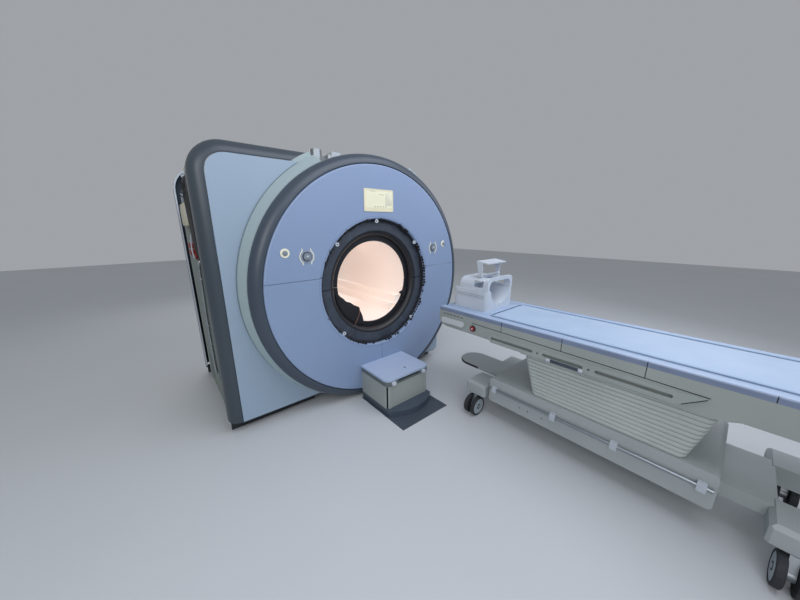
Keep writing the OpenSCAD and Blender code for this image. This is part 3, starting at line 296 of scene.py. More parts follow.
abs_white = moulded_abs("abs_white", "#b9c3cf", "#ced6df", 0.36)
abs_grey = moulded_abs("abs_grey", "#76808c", "#8b95a1", 0.40)
abs_grey_pale = moulded_abs("abs_grey_pale", "#8f9aa3", "#a9b3bb", 0.40)
abs_cream = moulded_abs("abs_cream", "#d9d4b4", "#efe9cb", 0.40)
abs_band = moulded_abs("abs_olive_grey", "#555e60", "#687173", 0.50)
abs_strip = moulded_abs("abs_strip_slate_blue", "#6b7992", "#7d8ba6", 0.45)
abs_step = moulded_abs("abs_step_blue_grey", "#39444f", "#4b5766", 0.38)
abs_slate = moulded_abs("abs_slate", "#39414d", "#4a5462", 0.45)
abs_red = moulded_abs("abs_signal_red", "#6e1a16", "#a52a22", 0.30)
abs_orange = moulded_abs("abs_orange", "#a8401f", "#c65a2c", 0.40)
lamp_guide = moulded_abs("acrylic_light_guide", "#e4e2cc", "#fbf8e0", 0.25)
# Round the dial lies a cover-coloured ring between the guides; the dark band from 26 to 34 mm is painted
# shade in the gap round the knob
tint_zone(lamp_guide, DIAL_OUT, DIAL_HEIGHT, 0, 46, "#7f8fa8")
tint_zone(lamp_guide, DIAL_OUT, DIAL_HEIGHT, 26, 34, "#353f4f")
# On the right only the inner half of the stop ring is lit; the rest has the colour of the cover
recolour(lamp_guide, past(lamp_guide, "X", 0.778), "#8598b8")
print("plastics ready")

# %% [markdown]
# ## Coated and bare metals
# The table's frame and base are aluminium castings and folded steel with a powder coat, whose
# flowed grains leave a soft leather-like skin. Rails, forks and the turret are bare metal: brushed
# along one direction, which stretches the reflections. Real metal colour comes from the base colour,
# so metals keep the default index of refraction.

# %% Powder coat and brushed metal
def powder_coat(name, dark, pale, roughness=0.45):
    material, tree, surface, where = finish(name, pale, roughness)
    skin = add(tree, "ShaderNodeTexNoise", {"Vector": where}, Scale=1 / 0.004, Detail=2.0)
    dust = add(tree, "ShaderNodeTexNoise", {"Vector": where}, Scale=1 / 0.35, Detail=4.0)
    shade_between(tree, surface, dust.outputs[0], dark, pale)
    relief(tree, surface, skin.outputs[0], 0.15, 0.4)
    return material


coat_warm = powder_coat("powder_coat_warm_grey", "#909896", "#a3aaa7")
coat_frame = powder_coat("powder_coat_frame", "#909896", "#a3aaa7")
# The frame's flat top has the same pale laminate as the board, 798 mm over the floor
recolour(coat_frame, past(coat_frame, "Z", 0.7978), "#9db1cc")
coat_fascia = powder_coat("powder_coat_fascia", "#909896", "#a3aaa7")
# The bulge of the lifting handle is a white moulding, the only part more than 333 mm out
recolour(coat_fascia, past(coat_fascia, "X", 0.333, TABLE / 1000), "#c3c9cc")
coat_base = powder_coat("powder_coat_base_grey", "#98a0a2", "#aab1b2")
coat_vessel = powder_coat("vessel_enamel", "#a9b0b4", "#bcc2c6")
coat_rack = powder_coat("rack_coat_grey", "#8d9490", "#a0a7a2")
coat_cabinet = powder_coat("cabinet_coat_green_grey", "#68736e", "#7d8882", 0.5)
coat_cream = powder_coat("filter_box_cream", "#bdb8a4", "#cfcab6", 0.5)
coat_floor = powder_coat("floor_plate_slate", "#39424c", "#4a545f", 0.40)
# The plinths' near black is painted shade for their recess under the wing panels
plinth_shade_coat = powder_coat("plinth_coat_painted_shade", "#202428", "#2d3237", 0.5)


def brushed_metal(name, dark, pale, roughness, along):
    material, tree, surface, where = finish(name, pale, roughness, Metallic=1.0)
    stretch = add(tree, "ShaderNodeMapping", {"Vector": where})
    # Brush lines 0.4 mm apart and long along one axis, drawn at 2 mm
    stretch.inputs["Scale"].default_value = [6.0 if axis == along else 500.0 for axis in "XYZ"]
    lines = add(tree, "ShaderNodeTexNoise", {"Vector": stretch.outputs["Vector"]}, Scale=1.0, Detail=2.0)
    shade_between(tree, surface, lines.outputs[0], dark, pale)
    relief(tree, surface, lines.outputs[0], 0.10, 0.2)
    return material


steel_rail = brushed_metal("brushed_steel_rail", "#8b9298", "#a7aeb4", 0.34, "Y")
# The clamps on the rail are white plastic: all that lies further from its axis than its radius
clamped = tint_zone(steel_rail, 313, 262, 9.4, 60, "#b4bdc6", 1.0, TABLE)
bare = calculate(steel_rail.node_tree, "LESS_THAN", clamped, 0.5)
steel_rail.node_tree.links.new(bare, steel_rail.node_tree.nodes["Principled BSDF"].inputs["Metallic"])
steel_nose = brushed_metal("brushed_steel_column", "#8e969c", "#a8b0b6", 0.38, "Z")
steel_turret = brushed_metal("brushed_steel_turret", "#8a9196", "#a6adb2", 0.40, "X")
steel_fork = brushed_metal("cast_aluminium_fork", "#868c92", "#a2a8ad", 0.45, "X")
print("metals ready")

# %% [markdown]
# ## Resin, rubber, sheath and skin
# Cast epoxy holds the gradient windings, tyres are grey-black rubber, cables have a black sheath,
# and the bellows is a polyurethane-coated fabric: satin, slightly leathery, and dirtier in its folds.

# %% Resin, rubber, sheath and bellows skin
epoxy = mottled("cast_epoxy", "#2c3034", 0.35, ("#202326", "#363b40"), 50, 4, bump=(0.2, 1.0))
rubber = mottled("tyre_rubber", "#24272b", 0.75, ("#1a1c1f", "#34383d"), 20, 5, bump=(0.25, 0.6))
sheath = mottled("cable_sheath", "#17181b", 0.45, ("#111214", "#1f2124"), 8, 2, bump=(0.1, 0.3))
copper_lead = mottled("copper_lead", "#6b4a3a", 0.5, ("#4c352b", "#8a6350"), 10, 3)
lagging = mottled("pipe_lagging", "#8d8e8a", 0.8, ("#7c7d79", "#9d9e9a"), 6, 3, bump=(0.4, 0.8))
# Braid strands 1.5 mm wide, drawn at 5 mm
braid = mottled("braided_steel_hose", "#a9adb0", 0.35, ("#6d7276", "#c3c7ca"), 5, 0, "Voronoi", (0.5, 1.0),
                Metallic=1.0)

bellows_skin, tree, surface, where = finish("coated_bellows_fabric", "#b6bdbb", 0.50)
leather = add(tree, "ShaderNodeTexVoronoi", {"Vector": where}, Scale=1 / 0.005)
grime = add(tree, "ShaderNodeTexNoise", {"Vector": where}, Scale=1 / 0.2, Detail=3.0)
shade_between(tree, surface, grime.outputs[0], "#a8b0ae", "#bfc6c3")
relief(tree, surface, leather.outputs["Distance"], 0.12, 0.4)

print("resin, rubber and skins ready")

# %% [markdown]
# ## Board laminate, mattress cover and display
# The board is carbon fibre under a hard pale laminate, wiped clean many times a day. The mattress
# cover is a welded vinyl with a fine leather grain of about 1 mm, drawn at 3 mm. The display is a
# pale screen behind an anti-glare sheet, and glows a little.

# %% Laminate, vinyl and display
laminate = mottled("board_laminate", "#98acc8", 0.32, ("#8fa4c1", "#a0b4ce"), 250, 3, Coat_Weight=0.2)
screen_glow = mottled("display_sheet", "#e2dfc3", 0.25, ("#dfdcc0", "#edebd0"), 80, 1,
                      Emission_Color=linear("#fbf8d8"), Emission_Strength=0.07)
display_shade = mottled("display_sheet_shaded", "#dddcc4", 0.25, ("#d6d6be", "#e2e1c9"), 60, 1)
display_ink = mottled("display_ink_grey", "#a2a495", 0.3, ("#8d9086", "#b4b6a6"), 20, 2)

vinyl, tree, surface, where = finish("mattress_vinyl_pale_blue", "#9fb6d2", 0.48, Sheen_Weight=0.15)
grain = add(tree, "ShaderNodeTexVoronoi", {"Vector": where}, Scale=1 / 0.003)
wash = add(tree, "ShaderNodeTexNoise", {"Vector": where}, Scale=1 / 0.18, Detail=4.0)
shade_between(tree, surface, wash.outputs[0], "#94acc9", "#a9c0d9")
relief(tree, surface, grain.outputs["Distance"], 0.15, 0.3)

print("soft and pale finishes ready")

# %% [markdown]
# ## Every solid gets its finish
# A table of node and finish is easy to read and to change. Nodes that aren't in it would stay plain,
# so the cell prints them. The round parts are shaded smooth up to 30 degrees between faces, which
# keeps real edges crisp.

# %% Dress the solids
solid_finish = {
    "cryostat": coat_vessel, "gradient_coil": epoxy, "bore_liner": gelcoat, "bore_rails": gelcoat,
    "end_rings": charcoal, "acoustic_seal": foam, "funnel_clips": abs_white,
    "face_upper": cover_paint, "face_lower_left": cover_paint, "face_lower_right": cover_paint,
    "face_rim": rim_paint, "collars": collar_paint, "wing_panels": panel_paint,
    "wing_frame": border_paint, "plinths": plinth_shade_coat, "rear_frame": border_paint,
    "rear_panel": panel_paint, "service_rack": coat_rack,
    "lower_cabinet": coat_cabinet, "filter_boxes": coat_cream, "cooling_pipes": lagging,
    "hose_couplings": abs_orange, "cable_bundle": sheath, "turret": steel_turret,
    "display_bezel": abs_cream, "display_screen": screen_glow, "control_bezels": lamp_guide,
    "jog_dial_left": abs_grey, "jog_dial_right": abs_grey,
    "stop_button_left": abs_grey, "stop_button_right": abs_grey,
    "dock_box": coat_warm, "dock_band": abs_band, "dock_buffers": abs_white, "dock_lid": lid_paint,
    "dock_step": abs_step, "floor_plate": coat_floor, "trolley_base": coat_base,
    "docking_nose": coat_base, "side_rails": steel_rail, "bellows": bellows_skin,
    "lift_inner": steel_nose, "table_frame": coat_frame, "side_fascias": coat_fascia,
    "edge_strips": abs_strip, "board": laminate, "mattress": vinyl, "table_stop_button": abs_red,
    "coil_base": abs_white, "coil_top": abs_white, "coil_mirror": abs_white,
}
for corner in ("front_left", "front_right", "rear_left", "rear_right"):
    solid_finish["caster_fork_" + corner] = steel_fork
    solid_finish["caster_wheels_" + corner] = rubber

for name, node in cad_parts.items():
    node.data.materials.clear()
    node.data.materials.append(solid_finish[name])
    node.data.shade_smooth()
    node.data.set_sharp_from_angle(angle=math.radians(30))
print("dressed:", len(solid_finish), "left plain:", set(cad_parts) - set(solid_finish))

# %% [markdown]
# ## Mesh tools for the small parts
# Three ways of making cover all small parts of a scanner. A bevelled block is a moulded clip or
# plate. A turned profile is anything round: it goes round an axis as on a lathe. A swept section
# follows a path, which makes wires, seals and bumpers; a spline through a few points gives the path
# of a laid cable. Each piece rides on the body it is fixed to, so it moves with it.

# %% Mesh tools
def finished_piece(name, shape, material, body):
    mesh = bpy.data.meshes.new(name)
    bmesh.ops.recalc_face_normals(shape, faces=shape.faces)
    shape.to_mesh(mesh)
    shape.free()
    mesh.materials.append(material)
    mesh.shade_smooth()
    mesh.set_sharp_from_angle(angle=math.radians(35))
    piece = bpy.data.objects.new(name, mesh)
    bpy.context.scene.collection.objects.link(piece)
    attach(piece, body)
    return piece


def bevelled_block(shape, low, high, bevel_mm=2.0):
    middle, size = (low + high) / 2, high - low
    made = bmesh.ops.create_cube(shape, size=1.0)
    for v in made["verts"]:
        v.co = middle + v.co * size
    edges = list({e for v in made["verts"] for e in v.link_edges})
    bmesh.ops.bevel(shape, geom=edges, offset=bevel_mm / 1000, segments=2, profile=0.5, affect="EDGES")


def join_rings(shape, rings, closed=False):
    # Quads between each ring of points and the next, and a face on both open ends
    for a, b in list(zip(rings, rings[1:])) + ([(rings[-1], rings[0])] if closed else []):
        for i in range(len(a)):
            j = (i + 1) % len(a)
            shape.faces.new((a[i], a[j], b[j], b[i]))
    if not closed:
        shape.faces.new(rings[0])
        shape.faces.new(rings[-1])


def turned_profile(shape, profile, centre, axis="Y", steps=48):
    # profile holds (radius, distance along the axis) in millimetres, open at both ends
    rings = []
    for r, along in profile:
        ring = []
        for i in range(steps):
            a = 2 * math.pi * i / steps
            c, s, d = r / 1000 * math.cos(a), r / 1000 * math.sin(a), along / 1000
            offset = {"X": (d, c, s), "Y": (c, d, s), "Z": (c, s, d)}[axis]
            ring.append(shape.verts.new(centre + Vector(offset)))
        rings.append(ring)
    join_rings(shape, rings)


def swept_section(shape, path, section, up=Vector((0, 0, 1)), closed=False):
    # section holds (sideways, upwards) in metres, path holds the points that it follows
    count, rings = len(path), []
    for i, point in enumerate(path):
        ahead = path[(i + 1) % count] if closed or i + 1 < count else point
        back = path[i - 1] if closed or i else point
        along = (ahead - back).normalized()
        side = along.cross(up).normalized()
        rise = side.cross(along).normalized()
        rings.append([shape.verts.new(point + side * u + rise * w) for u, w in section])
    join_rings(shape, rings, closed)


def round_section(radius_mm, sides=10):
    return [(radius_mm / 1000 * math.cos(2 * math.pi * i / sides),
             radius_mm / 1000 * math.sin(2 * math.pi * i / sides)) for i in range(sides)]


def smooth_path(points, steps=8):
    # Catmull-Rom spline through the points
    path = []
    last = len(points) - 1
    for i in range(last):
        a, b, c, d = points[max(i - 1, 0)], points[i], points[i + 1], points[min(i + 2, last)]
        for k in range(steps):
            t = k / steps
            path.append(0.5 * (2 * b + (c - a) * t + (2 * a - 5 * b + 4 * c - d) * t * t
                               + (3 * b - a - 3 * c + d) * t ** 3))
    return path + [points[-1]]


print("mesh tools ready")

# %% [markdown]
# ## Torn acoustic foam
# The foam ring round the bore was glued in and torn when the funnel came off. A clean ring looks
# wrong there, so its inner edge wanders in and out with noise: slow waves for the glue joints and
# quick ones for the torn cells. A closed section swept round the ring keeps it a solid body, and
# it stands in place of the smooth solid ring.

# %% Torn foam ring
shape, rings = bmesh.new(), []
points_round, foam_out, foam_in = 420, 535, 513
for i in range(points_round):
    a = 2 * math.pi * i / points_round
    radial = Vector((math.cos(a), 0, math.sin(a)))
    slow = noise.noise(radial * 4.0) * 14 + math.sin(18 * a) * 3
    quick = noise.noise(radial * 26.0) * 10
    inner = foam_in + slow + quick
    dent = noise.noise(radial * 14.0 + Vector((0, 5, 0))) * 3
    ring = []
    for r, behind in ((foam_out, 31), (inner + 6, 31 + abs(dent)), (inner, 36), (inner + 2, 46),
                      (foam_out, 47)):
        ring.append(shape.verts.new(place(0, 0, AXIS) + radial * r / 1000 + Vector((0, behind / 1000, 0))))
    rings.append(ring)
join_rings(shape, rings, closed=True)
torn_foam = finished_piece("torn_foam_ring", shape, foam, "magnet")
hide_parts("acoustic_seal")
print("foam points:", len(torn_foam.data.vertices))

# %% [markdown]
# ## Tufts of foam on the edge of the hole
# Where the funnel was pulled off, tufts of the foam stayed stuck to the edge of the hole, most of
# them on the right and at the bottom. Each tuft is a small ball that noise pulls out of shape. The
# places come from the same noise, so they are the same in every run.

# %% Foam tufts
shape = bmesh.new()
tuft_places = 110
for k in range(tuft_places):
    angle = math.radians(-165 + 330 * k / tuft_places)
    radial = Vector((math.cos(angle), 0, math.sin(angle)))
    chance = noise.noise(radial * 9.0 + Vector((0, 3.7, 0)))
    if chance < 0.02 - 0.22 * math.cos(angle + 0.5):
        continue
    centre = place(0, 10 + 8 * noise.noise(radial * 20), AXIS) + radial * (0.527 + 0.006 * chance)
    size = 0.009 + 0.008 * chance
    tuft = bmesh.ops.create_icosphere(shape, subdivisions=2, radius=1.0)
    for v in tuft["verts"]:
        lump = 1 + 0.7 * noise.noise(v.co * 1.7 + radial * 30)
        v.co = centre + v.co * size * lump
foam_tufts = finished_piece("foam_tufts", shape, foam, "magnet")
print("tuft points:", len(foam_tufts.data.vertices))

# %% [markdown]
# ## Torn flaps over the mouth of the tube
# Two pieces of the foam still hang over the edge of the tube, a long one low on the left and a
# small one on the right, and a thin antenna lead hangs from the long one down to the ring. The
# free edge of each flap follows the torn line in the picture, and noise roughens it.

# %% Torn flaps and lead
shape = bmesh.new()
ring_inside = 384
for torn_line in (((-352, -60), (-318, -92), (-288, -122), (-250, -143), (-208, -172), (-166, -198),
                   (-152, -236), (-134, -282), (-124, -330)),
                  ((360, -96), (326, -118), (286, -134), (318, -166), (322, -190), (300, -212))):
    free_edge = smooth_path([Vector((x, 0, z)) for x, z in torn_line], 6)
    rows = []
    for k, point in enumerate(free_edge):
        out = point.normalized()
        rough = 1 + 0.014 * noise.noise(point * 0.05)
        row = []
        for share, behind in ((0.0, 104), (0.0, 94), (0.35, 88), (1.0, 96), (1.0, 106)):
            radius = point.length * rough * (1 - share) + ring_inside * share
            wave = 3 * noise.noise(Vector((radius * 0.03, k * 0.4, 0)))
            row.append(shape.verts.new(place(out.x * radius, behind + wave * (0 < share < 1),
                                             AXIS + out.z * radius)))
        rows.append(row)
    join_rings(shape, rows)
finished_piece("torn_flaps", shape, foam, "magnet")
shape = bmesh.new()
lead = [place(-166, 90, AXIS - 200), place(-176, 78, AXIS - 250), place(-205, 72, AXIS - 300),
        place(-240, 66, AXIS - 350), place(-282, 58, AXIS - 386), place(-300, 46, AXIS - 412)]
swept_section(shape, smooth_path(lead), round_section(3.5, 8), up=Vector((0, 1, 0)))
hanging_lead = finished_piece("hanging_lead", shape, copper_lead, "magnet")
print("flaps:", 2, "lead points:", len(hanging_lead.data.vertices))

# %% [markdown]
# ## Screw sockets in the edge of the hole
# The bore funnel was screwed to the face cover from inside its hole. The screws are out, so small
# dark sockets are left in the rolled edge. Each is a shallow cup with a raised rim, turned about
# its own axis, and sits just proud of the paint so that it isn't lost in it.

# %% Screw sockets
shape = bmesh.new()
for angle in (146, 124, 65, 11, 168, -157, -28):
    a = math.radians(angle)
    seat = place(541 * math.cos(a), 0, AXIS + 541 * math.sin(a))
    turned_profile(shape, [(6, 0.6), (6, -0.6), (4.6, -0.6), (4.2, 0.2), (0.4, 0.2)], seat, steps=16)
# The sockets' dark colour is painted shade for the empty screw holes
finished_piece("funnel_screw_sockets", shape, rubber, "magnet")
print("sockets:", 7)

# %% [markdown]
# ## Marks on the dials
# Each dial has a pale dot in its middle and a small dark grip hole below it, so that the hand
# finds the direction of the turn. They turn with the dial.

# %% Dial marks
for side, name in ((-1, "left"), (1, "right")):
    shape = bmesh.new()
    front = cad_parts["jog_dial_" + name].bound_box
    tip = (min(corner[1] for corner in front) + FACE) * 1000
    turned_profile(shape, [(7, 0.5), (7, -0.6), (5.5, -1.2), (1, -1.4)],
                   place(side * DIAL_OUT, tip, DIAL_HEIGHT + 2), steps=20)
    finished_piece("dial_dot_" + name, shape, abs_white, "jog_" + name)
    # The grip hole's dark colour is painted shade for its depth
    shape = bmesh.new()
    turned_profile(shape, [(4.5, 0.5), (4.5, -0.5), (3, -0.2), (1, -0.1)],
                   place(side * DIAL_OUT, tip, DIAL_HEIGHT - 16), steps=16)
    finished_piece("dial_hole_" + name, shape, rubber, "jog_" + name)
print("dial marks: 4")

# %% [markdown]
# ## What the display shows
# The display over the bore guides the staff: a short title line, a picture area, a darker column
# for the patient's data and a row of keys. Nobody can read it from the door, so plain bars and
# blocks of the right size and tone are enough, each half a millimetre proud of the sheet.

# %% Display content
def on_display(right, down):
    return Vector(((-131 + 262 * right) / 1000, -FACE - 0.0033, (1728 - 128 * down) / 1000))


def display_bar(shape, right0, right1, down0, down1, proud_mm):
    low, high = on_display(right0, down1), on_display(right1, down0)
    high.y = -FACE - 0.0027
    low.y -= proud_mm / 1000
    bevelled_block(shape, low, high, 0.1)


shape = bmesh.new()
display_bar(shape, 0.74, 0.985, 0.10, 0.86, 0.0)
finished_piece("display_data_column", shape, display_shade, "magnet")
shape = bmesh.new()
for right0, right1, down0, down1 in ((0.19, 0.36, 0.035, 0.06), (0.50, 0.70, 0.22, 0.25)):
    display_bar(shape, right0, right1, down0, down1, 0.3)
finished_piece("display_title_lines", shape, display_ink, "magnet")
shape = bmesh.new()
for k in range(5):
    display_bar(shape, 0.33 + 0.1 * k, 0.365 + 0.1 * k, 0.90, 0.97, 0.3)
finished_piece("display_keys", shape, display_ink, "magnet")
print("display pieces:", 3)

# %% [markdown]
# ## Table trim
# Both long sides of the table carry the same trim. Ventilation slits run along the lifting handle
# at the head end, drawn as dark strips of painted shade. Below the middle grip a dark ribbed pad
# between two white stops stands for a recess where an arm rest can be hooked in; its dark colour
# is painted shade. Screws hold the fascia between the grips. The three holes in the base, for service tools,
# are dark cups of painted shade.

# %% Table trim
def side_block(shape, side, out, far, heights, bevel_mm):
    # out, far and heights are pairs in mm: from the middle, from the face and over the floor
    a, b = [on_table(side * out[k], far[k], heights[k]) for k in (0, 1)]
    bevelled_block(shape, Vector(map(min, a, b)), Vector(map(max, a, b)), bevel_mm)


FASCIA_OUT, BASE_OUT = 332, 300
slits, shaded_recess, stops, screws = bmesh.new(), bmesh.new(), bmesh.new(), bmesh.new()
for side in (-1, 1):
    # Each slit is a dark strip, painted shade for the shade inside it
    for k in range(6):
        side_block(slits, side, (329, 330.8), (411 + 35 * k, 435 + 35 * k), (750, 756), 0.4)
    # The dark pad and its ribs are painted shade for the recess under the middle grip
    side_block(shaded_recess, side, (331, 333), (1292, 1448), (631, 652), 0.5)
    for k in range(3):
        side_block(shaded_recess, side, (332, 335), (1294, 1446), (634 + 6.5 * k, 637 + 6.5 * k), 0.6)
    for far in (1278, 1462):
        side_block(stops, side, (331, 337), (far - 12, far + 12), (632, 651), 2.5)
    for far, h in ((1209, 664), (1500, 664)):
        turned_profile(screws, [(6, -1), (6, 1.0), (4, 1.6), (2.2, 0.4), (0.3, 0.4)],
                       on_table(side * FASCIA_OUT, far, h), "X", 20)
    # The dark cups in the base are painted shade for the service tool holes
    for far, h in ((1119, 204), (1177, 204), (1274, 204)):
        turned_profile(screws, [(5, -1), (5, 0.5), (3.5, 0.5), (3.2, -0.4), (0.3, -0.4)],
                       on_table(side * BASE_OUT, far, h), "X", 16)
finished_piece("handle_slits", slits, rubber, "tabletop")
finished_piece("arm_rest_recess_shade", shaded_recess, abs_slate, "tabletop")
finished_piece("arm_rest_stops", stops, abs_white, "tabletop")
finished_piece("fascia_screws", screws, abs_slate, "tabletop")
print("trim pieces:", 4)

# %% [markdown]
# ## Joint seals and a painted shadow line on the table side
# The side of the table is made of separate mouldings, and a black rubber lip closes each joint
# between them: one long sloping joint and short upright ones. The same strip round the pointed end
# of the fascia is painted shadow where the fascia ends. All are thin and stand half a millimetre proud.

# %% Joint seals and shadow line
def joint_line(far):
    # The long joint drops 25 mm between 690 and 1975 mm from the face
    return 731 - 25 * (far - 690) / 1285


joints = (939, 1340, 1741, 2142)
strip_out = (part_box("edge_strips")[1][0] - TABLE / 1000) * 1000
shape = bmesh.new()
lip = [(-0.0008, -0.002), (0.0008, -0.002), (0.0008, 0.002), (-0.0008, 0.002)]
for side in (-1, 1):
    sloping = [on_table(side * 319.8, far, joint_line(far)) for far in (692, 1100, 1540, 1972)]
    swept_section(shape, sloping, lip)
    # The strip round the pointed end is a painted shadow line where the fascia ends
    pointed = [on_table(side * FASCIA_OUT, far, h) for far, h in ((1966, 700.5), (1888, 643))]
    swept_section(shape, pointed, lip)
    for far in joints[:3]:
        side_block(shape, side, (319, 320.6), (far - 1.8, far + 1.8), (joint_line(far) + 1, 769), 0.2)
    for far in joints:
        side_block(shape, side, (strip_out - 1, strip_out + 0.5), (far - 1.8, far + 1.8), (772, 796), 0.2)
finished_piece("joint_seals_and_shadow_line", shape, rubber, "tabletop")
print("edge strips reach", round(strip_out, 1), "mm from the middle")

# %% [markdown]
# ## Bellows
# The bellows hides the lifting column so that nobody reaches into it. It is welded from coated
# fabric: broad bands that bulge a little, with a narrow crease between them where the stiffening
# hoop sits. Rings of points follow that outline from crease to crease, and the piece narrows
# towards its lower edge.

# %% Bellows
BELLOWS_MIDDLE = 1562


def rounded_ring(half_x, half_y, height, corner_mm, steps=7, middle=BELLOWS_MIDDLE):
    # A rectangle with round corners on the table's axis, its middle measured from the face
    ring = []
    for corner, (sx, sy) in enumerate(((1, 1), (-1, 1), (-1, -1), (1, -1))):
        for step in range(steps + 1):
            a = math.radians(90 * corner + 90 * step / steps)
            ring.append(on_table(sx * (half_x - corner_mm) + corner_mm * math.cos(a),
                                 middle - sy * (half_y - corner_mm) - corner_mm * math.sin(a), height))
    return ring


bellows_low, bellows_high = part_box("bellows")
foot, head, table_travel = bellows_low[2] * 1000, bellows_high[2] * 1000, 200
half_head = (1000 * (bellows_high[0] - bellows_low[0]) / 2, 1000 * (bellows_high[1] - bellows_low[1]) / 2)
half_foot = (half_head[0] - 4, half_head[1] - 76)
folds = 11
band = ((0.0, 1.0), (0.04, 0.5), (0.09, 0.2), (0.2, 0.06), (0.5, 0.0), (0.8, 0.06), (0.91, 0.2), (0.96, 0.5))
levels = [((fold + t) / folds, dip) for fold in range(folds) for t, dip in band] + [(1.0, 1.0)]
shape, rings = bmesh.new(), []
for skin in (0, 4):
    for rise, dip in (levels if skin == 0 else reversed(levels)):
        half_x, half_y = [a + (b - a) * rise - 10 * dip - skin for a, b in zip(half_foot, half_head)]
        ring = rounded_ring(half_x, half_y, foot + (head - foot) * rise, 34 - skin)
        rings.append([shape.verts.new(v) for v in ring])
join_rings(shape, rings, closed=True)
folded_bellows = finished_piece("folded_bellows", shape, bellows_skin, "trolley")
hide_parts("bellows")
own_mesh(folded_bellows)
print("bellows", round(head - foot), "mm high,", len(folded_bellows.data.vertices), "points")

# %% [markdown]
# ## Rubber and small parts of the table
# The docking nose has a rubber bumper round its tip, because it runs into the dock. A rubber gasket
# lies under the lowest fold of the bellows, and the wheels carry pale caps over their axle nuts.
# The stop knob sits in a dark bezel. Rubber strips are extruded, so a swept section draws them, and
# caps and bezels are turned.

# %% Bumper, gasket, wheel caps and knob bezel
shape = bmesh.new()
nose_r, nose_far, nose_height = 127, 530, 268
turn = [math.radians(a) for a in range(0, 181, 5)]
tip = [on_table(nose_r * math.cos(a), nose_far - nose_r * math.sin(a), nose_height) for a in turn]
tip = [on_table(nose_r, 640, nose_height)] + tip + [on_table(-nose_r, 640, nose_height)]
swept_section(shape, tip, [(-0.003, -0.009), (0.001, -0.009), (0.003, 0), (0.001, 0.009), (-0.003, 0.009)])
finished_piece("nose_bumper", shape, rubber, "trolley")

shape = bmesh.new()
swept_section(shape, rounded_ring(279, 378, 343, 34, 4),
              [(-0.003, -0.003), (0.003, -0.003), (0.003, 0.003), (-0.003, 0.003)], closed=True)
finished_piece("bellows_gasket", shape, rubber, "trolley")

wheel_r, half_track = 75, 40.5
wheel_places = {"front_left": (-340, 770), "front_right": (240, 770),
                "rear_left": (-340, 2310), "rear_right": (240, 2310)}
for corner, (across, from_face) in wheel_places.items():
    shape = bmesh.new()
    for side in (-1, 1):
        dish = [(61, 0), (61, 3), (54, 4.4), (30, 5.2), (26, 4.2), (12, 4.2), (10, 6.4), (2, 6.6)]
        turned_profile(shape, [(r, side * (half_track + d)) for r, d in dish],
                       on_table(across, from_face, wheel_r), "Y", 40)
    finished_piece("wheel_caps_" + corner, shape, abs_grey_pale, "wheels_" + corner)

knob = on_table(-320, 704, 690)
shape = bmesh.new()
turned_profile(shape, [(26, -0.5), (26, -2.5), (24, -3.5), (21, -3.5), (20, -0.5)], knob, "X", 40)
finished_piece("stop_knob_bezel", shape, abs_slate, "tabletop")
shape = bmesh.new()
turned_profile(shape, [(7, -15.6), (7, -16.6), (1, -17.0)], knob, "X", 20)
finished_piece("stop_knob_mark", shape, abs_white, "table_stop")
shape = bmesh.new()
turned_profile(shape, [(9, -0.4), (9, 0.8), (7, 1.2), (6, 0.3), (1, 0.3)], place(35, -269, 300), "Z", 24)
finished_piece("dock_lid_plug", shape, abs_slate, "magnet")
print("small table parts ready")

# %% [markdown]
# ## Behind the missing side cover
# With the left cover off, the service side shows what a scanner hides: plugs on the filter box,
# cables that run down to the cabinet, valves with red wheels on the cooling pipes, a terminal box,
# small valves on the shelf, a manifold with red couplings, and a braided hose clipped to the
# cabinet. The cables are clamped at both ends, so they keep their curve and are swept along it.

# %% Service side details
RACK_FACE, CABINET_FACE = -1188, -1187
CABINET_TOP, SHELF_TOP = 1215, 1650

plugs, cables = bmesh.new(), bmesh.new()
for k, (behind, height) in enumerate(((430, 1800), (480, 1745), (535, 1805), (590, 1750), (650, 1800))):
    bevelled_block(plugs, place(-1192, behind - 14, height - 20), place(-1177, behind + 14, height + 20), 2)
    turned_profile(plugs, [(10, -3), (10, -14), (8, -15), (1, -15)], place(-1189, behind, height), "X", 16)
    drop = [place(-1196, behind, height - 18), place(-1203, behind + 4, height - 50),
            place(-1202, behind + 12 * k, 1660), place(-1199, behind + 20 + 6 * k, 1500),
            place(-1196, behind + 40 - 10 * k, 1340), place(-1180, behind + 30 - 12 * k, 1228)]
    swept_section(cables, smooth_path(drop), round_section(6.5), up=Vector((1, 0, 0)))
finished_piece("service_plugs", plugs, abs_white, "magnet")
finished_piece("service_cables", cables, sheath, "magnet")

shape = bmesh.new()
drop = [place(-1180, 700, 1462), place(-1196, 760, 1400), place(-1202, 820, 1300), place(-1200, 760, 1226)]
swept_section(shape, smooth_path(drop), round_section(5), up=Vector((1, 0, 0)))
drop = [place(-1176, 690, 1690), place(-1198, 700, 1672), place(-1203, 740, 1560), place(-1190, 800, 1470)]
swept_section(shape, smooth_path(drop), round_section(4), up=Vector((1, 0, 0)))
finished_piece("pale_service_cables", shape, abs_white, "magnet")

valves = bmesh.new()
for behind in (550, 620, 690, 760):
    turned_profile(valves, [(5, -12), (5, -28), (19, -28), (22, -31), (22, -35), (19, -38), (1, -38)],
                   place(-1143, behind, 1352), "X", 24)
finished_piece("valve_wheels", valves, abs_red, "magnet")

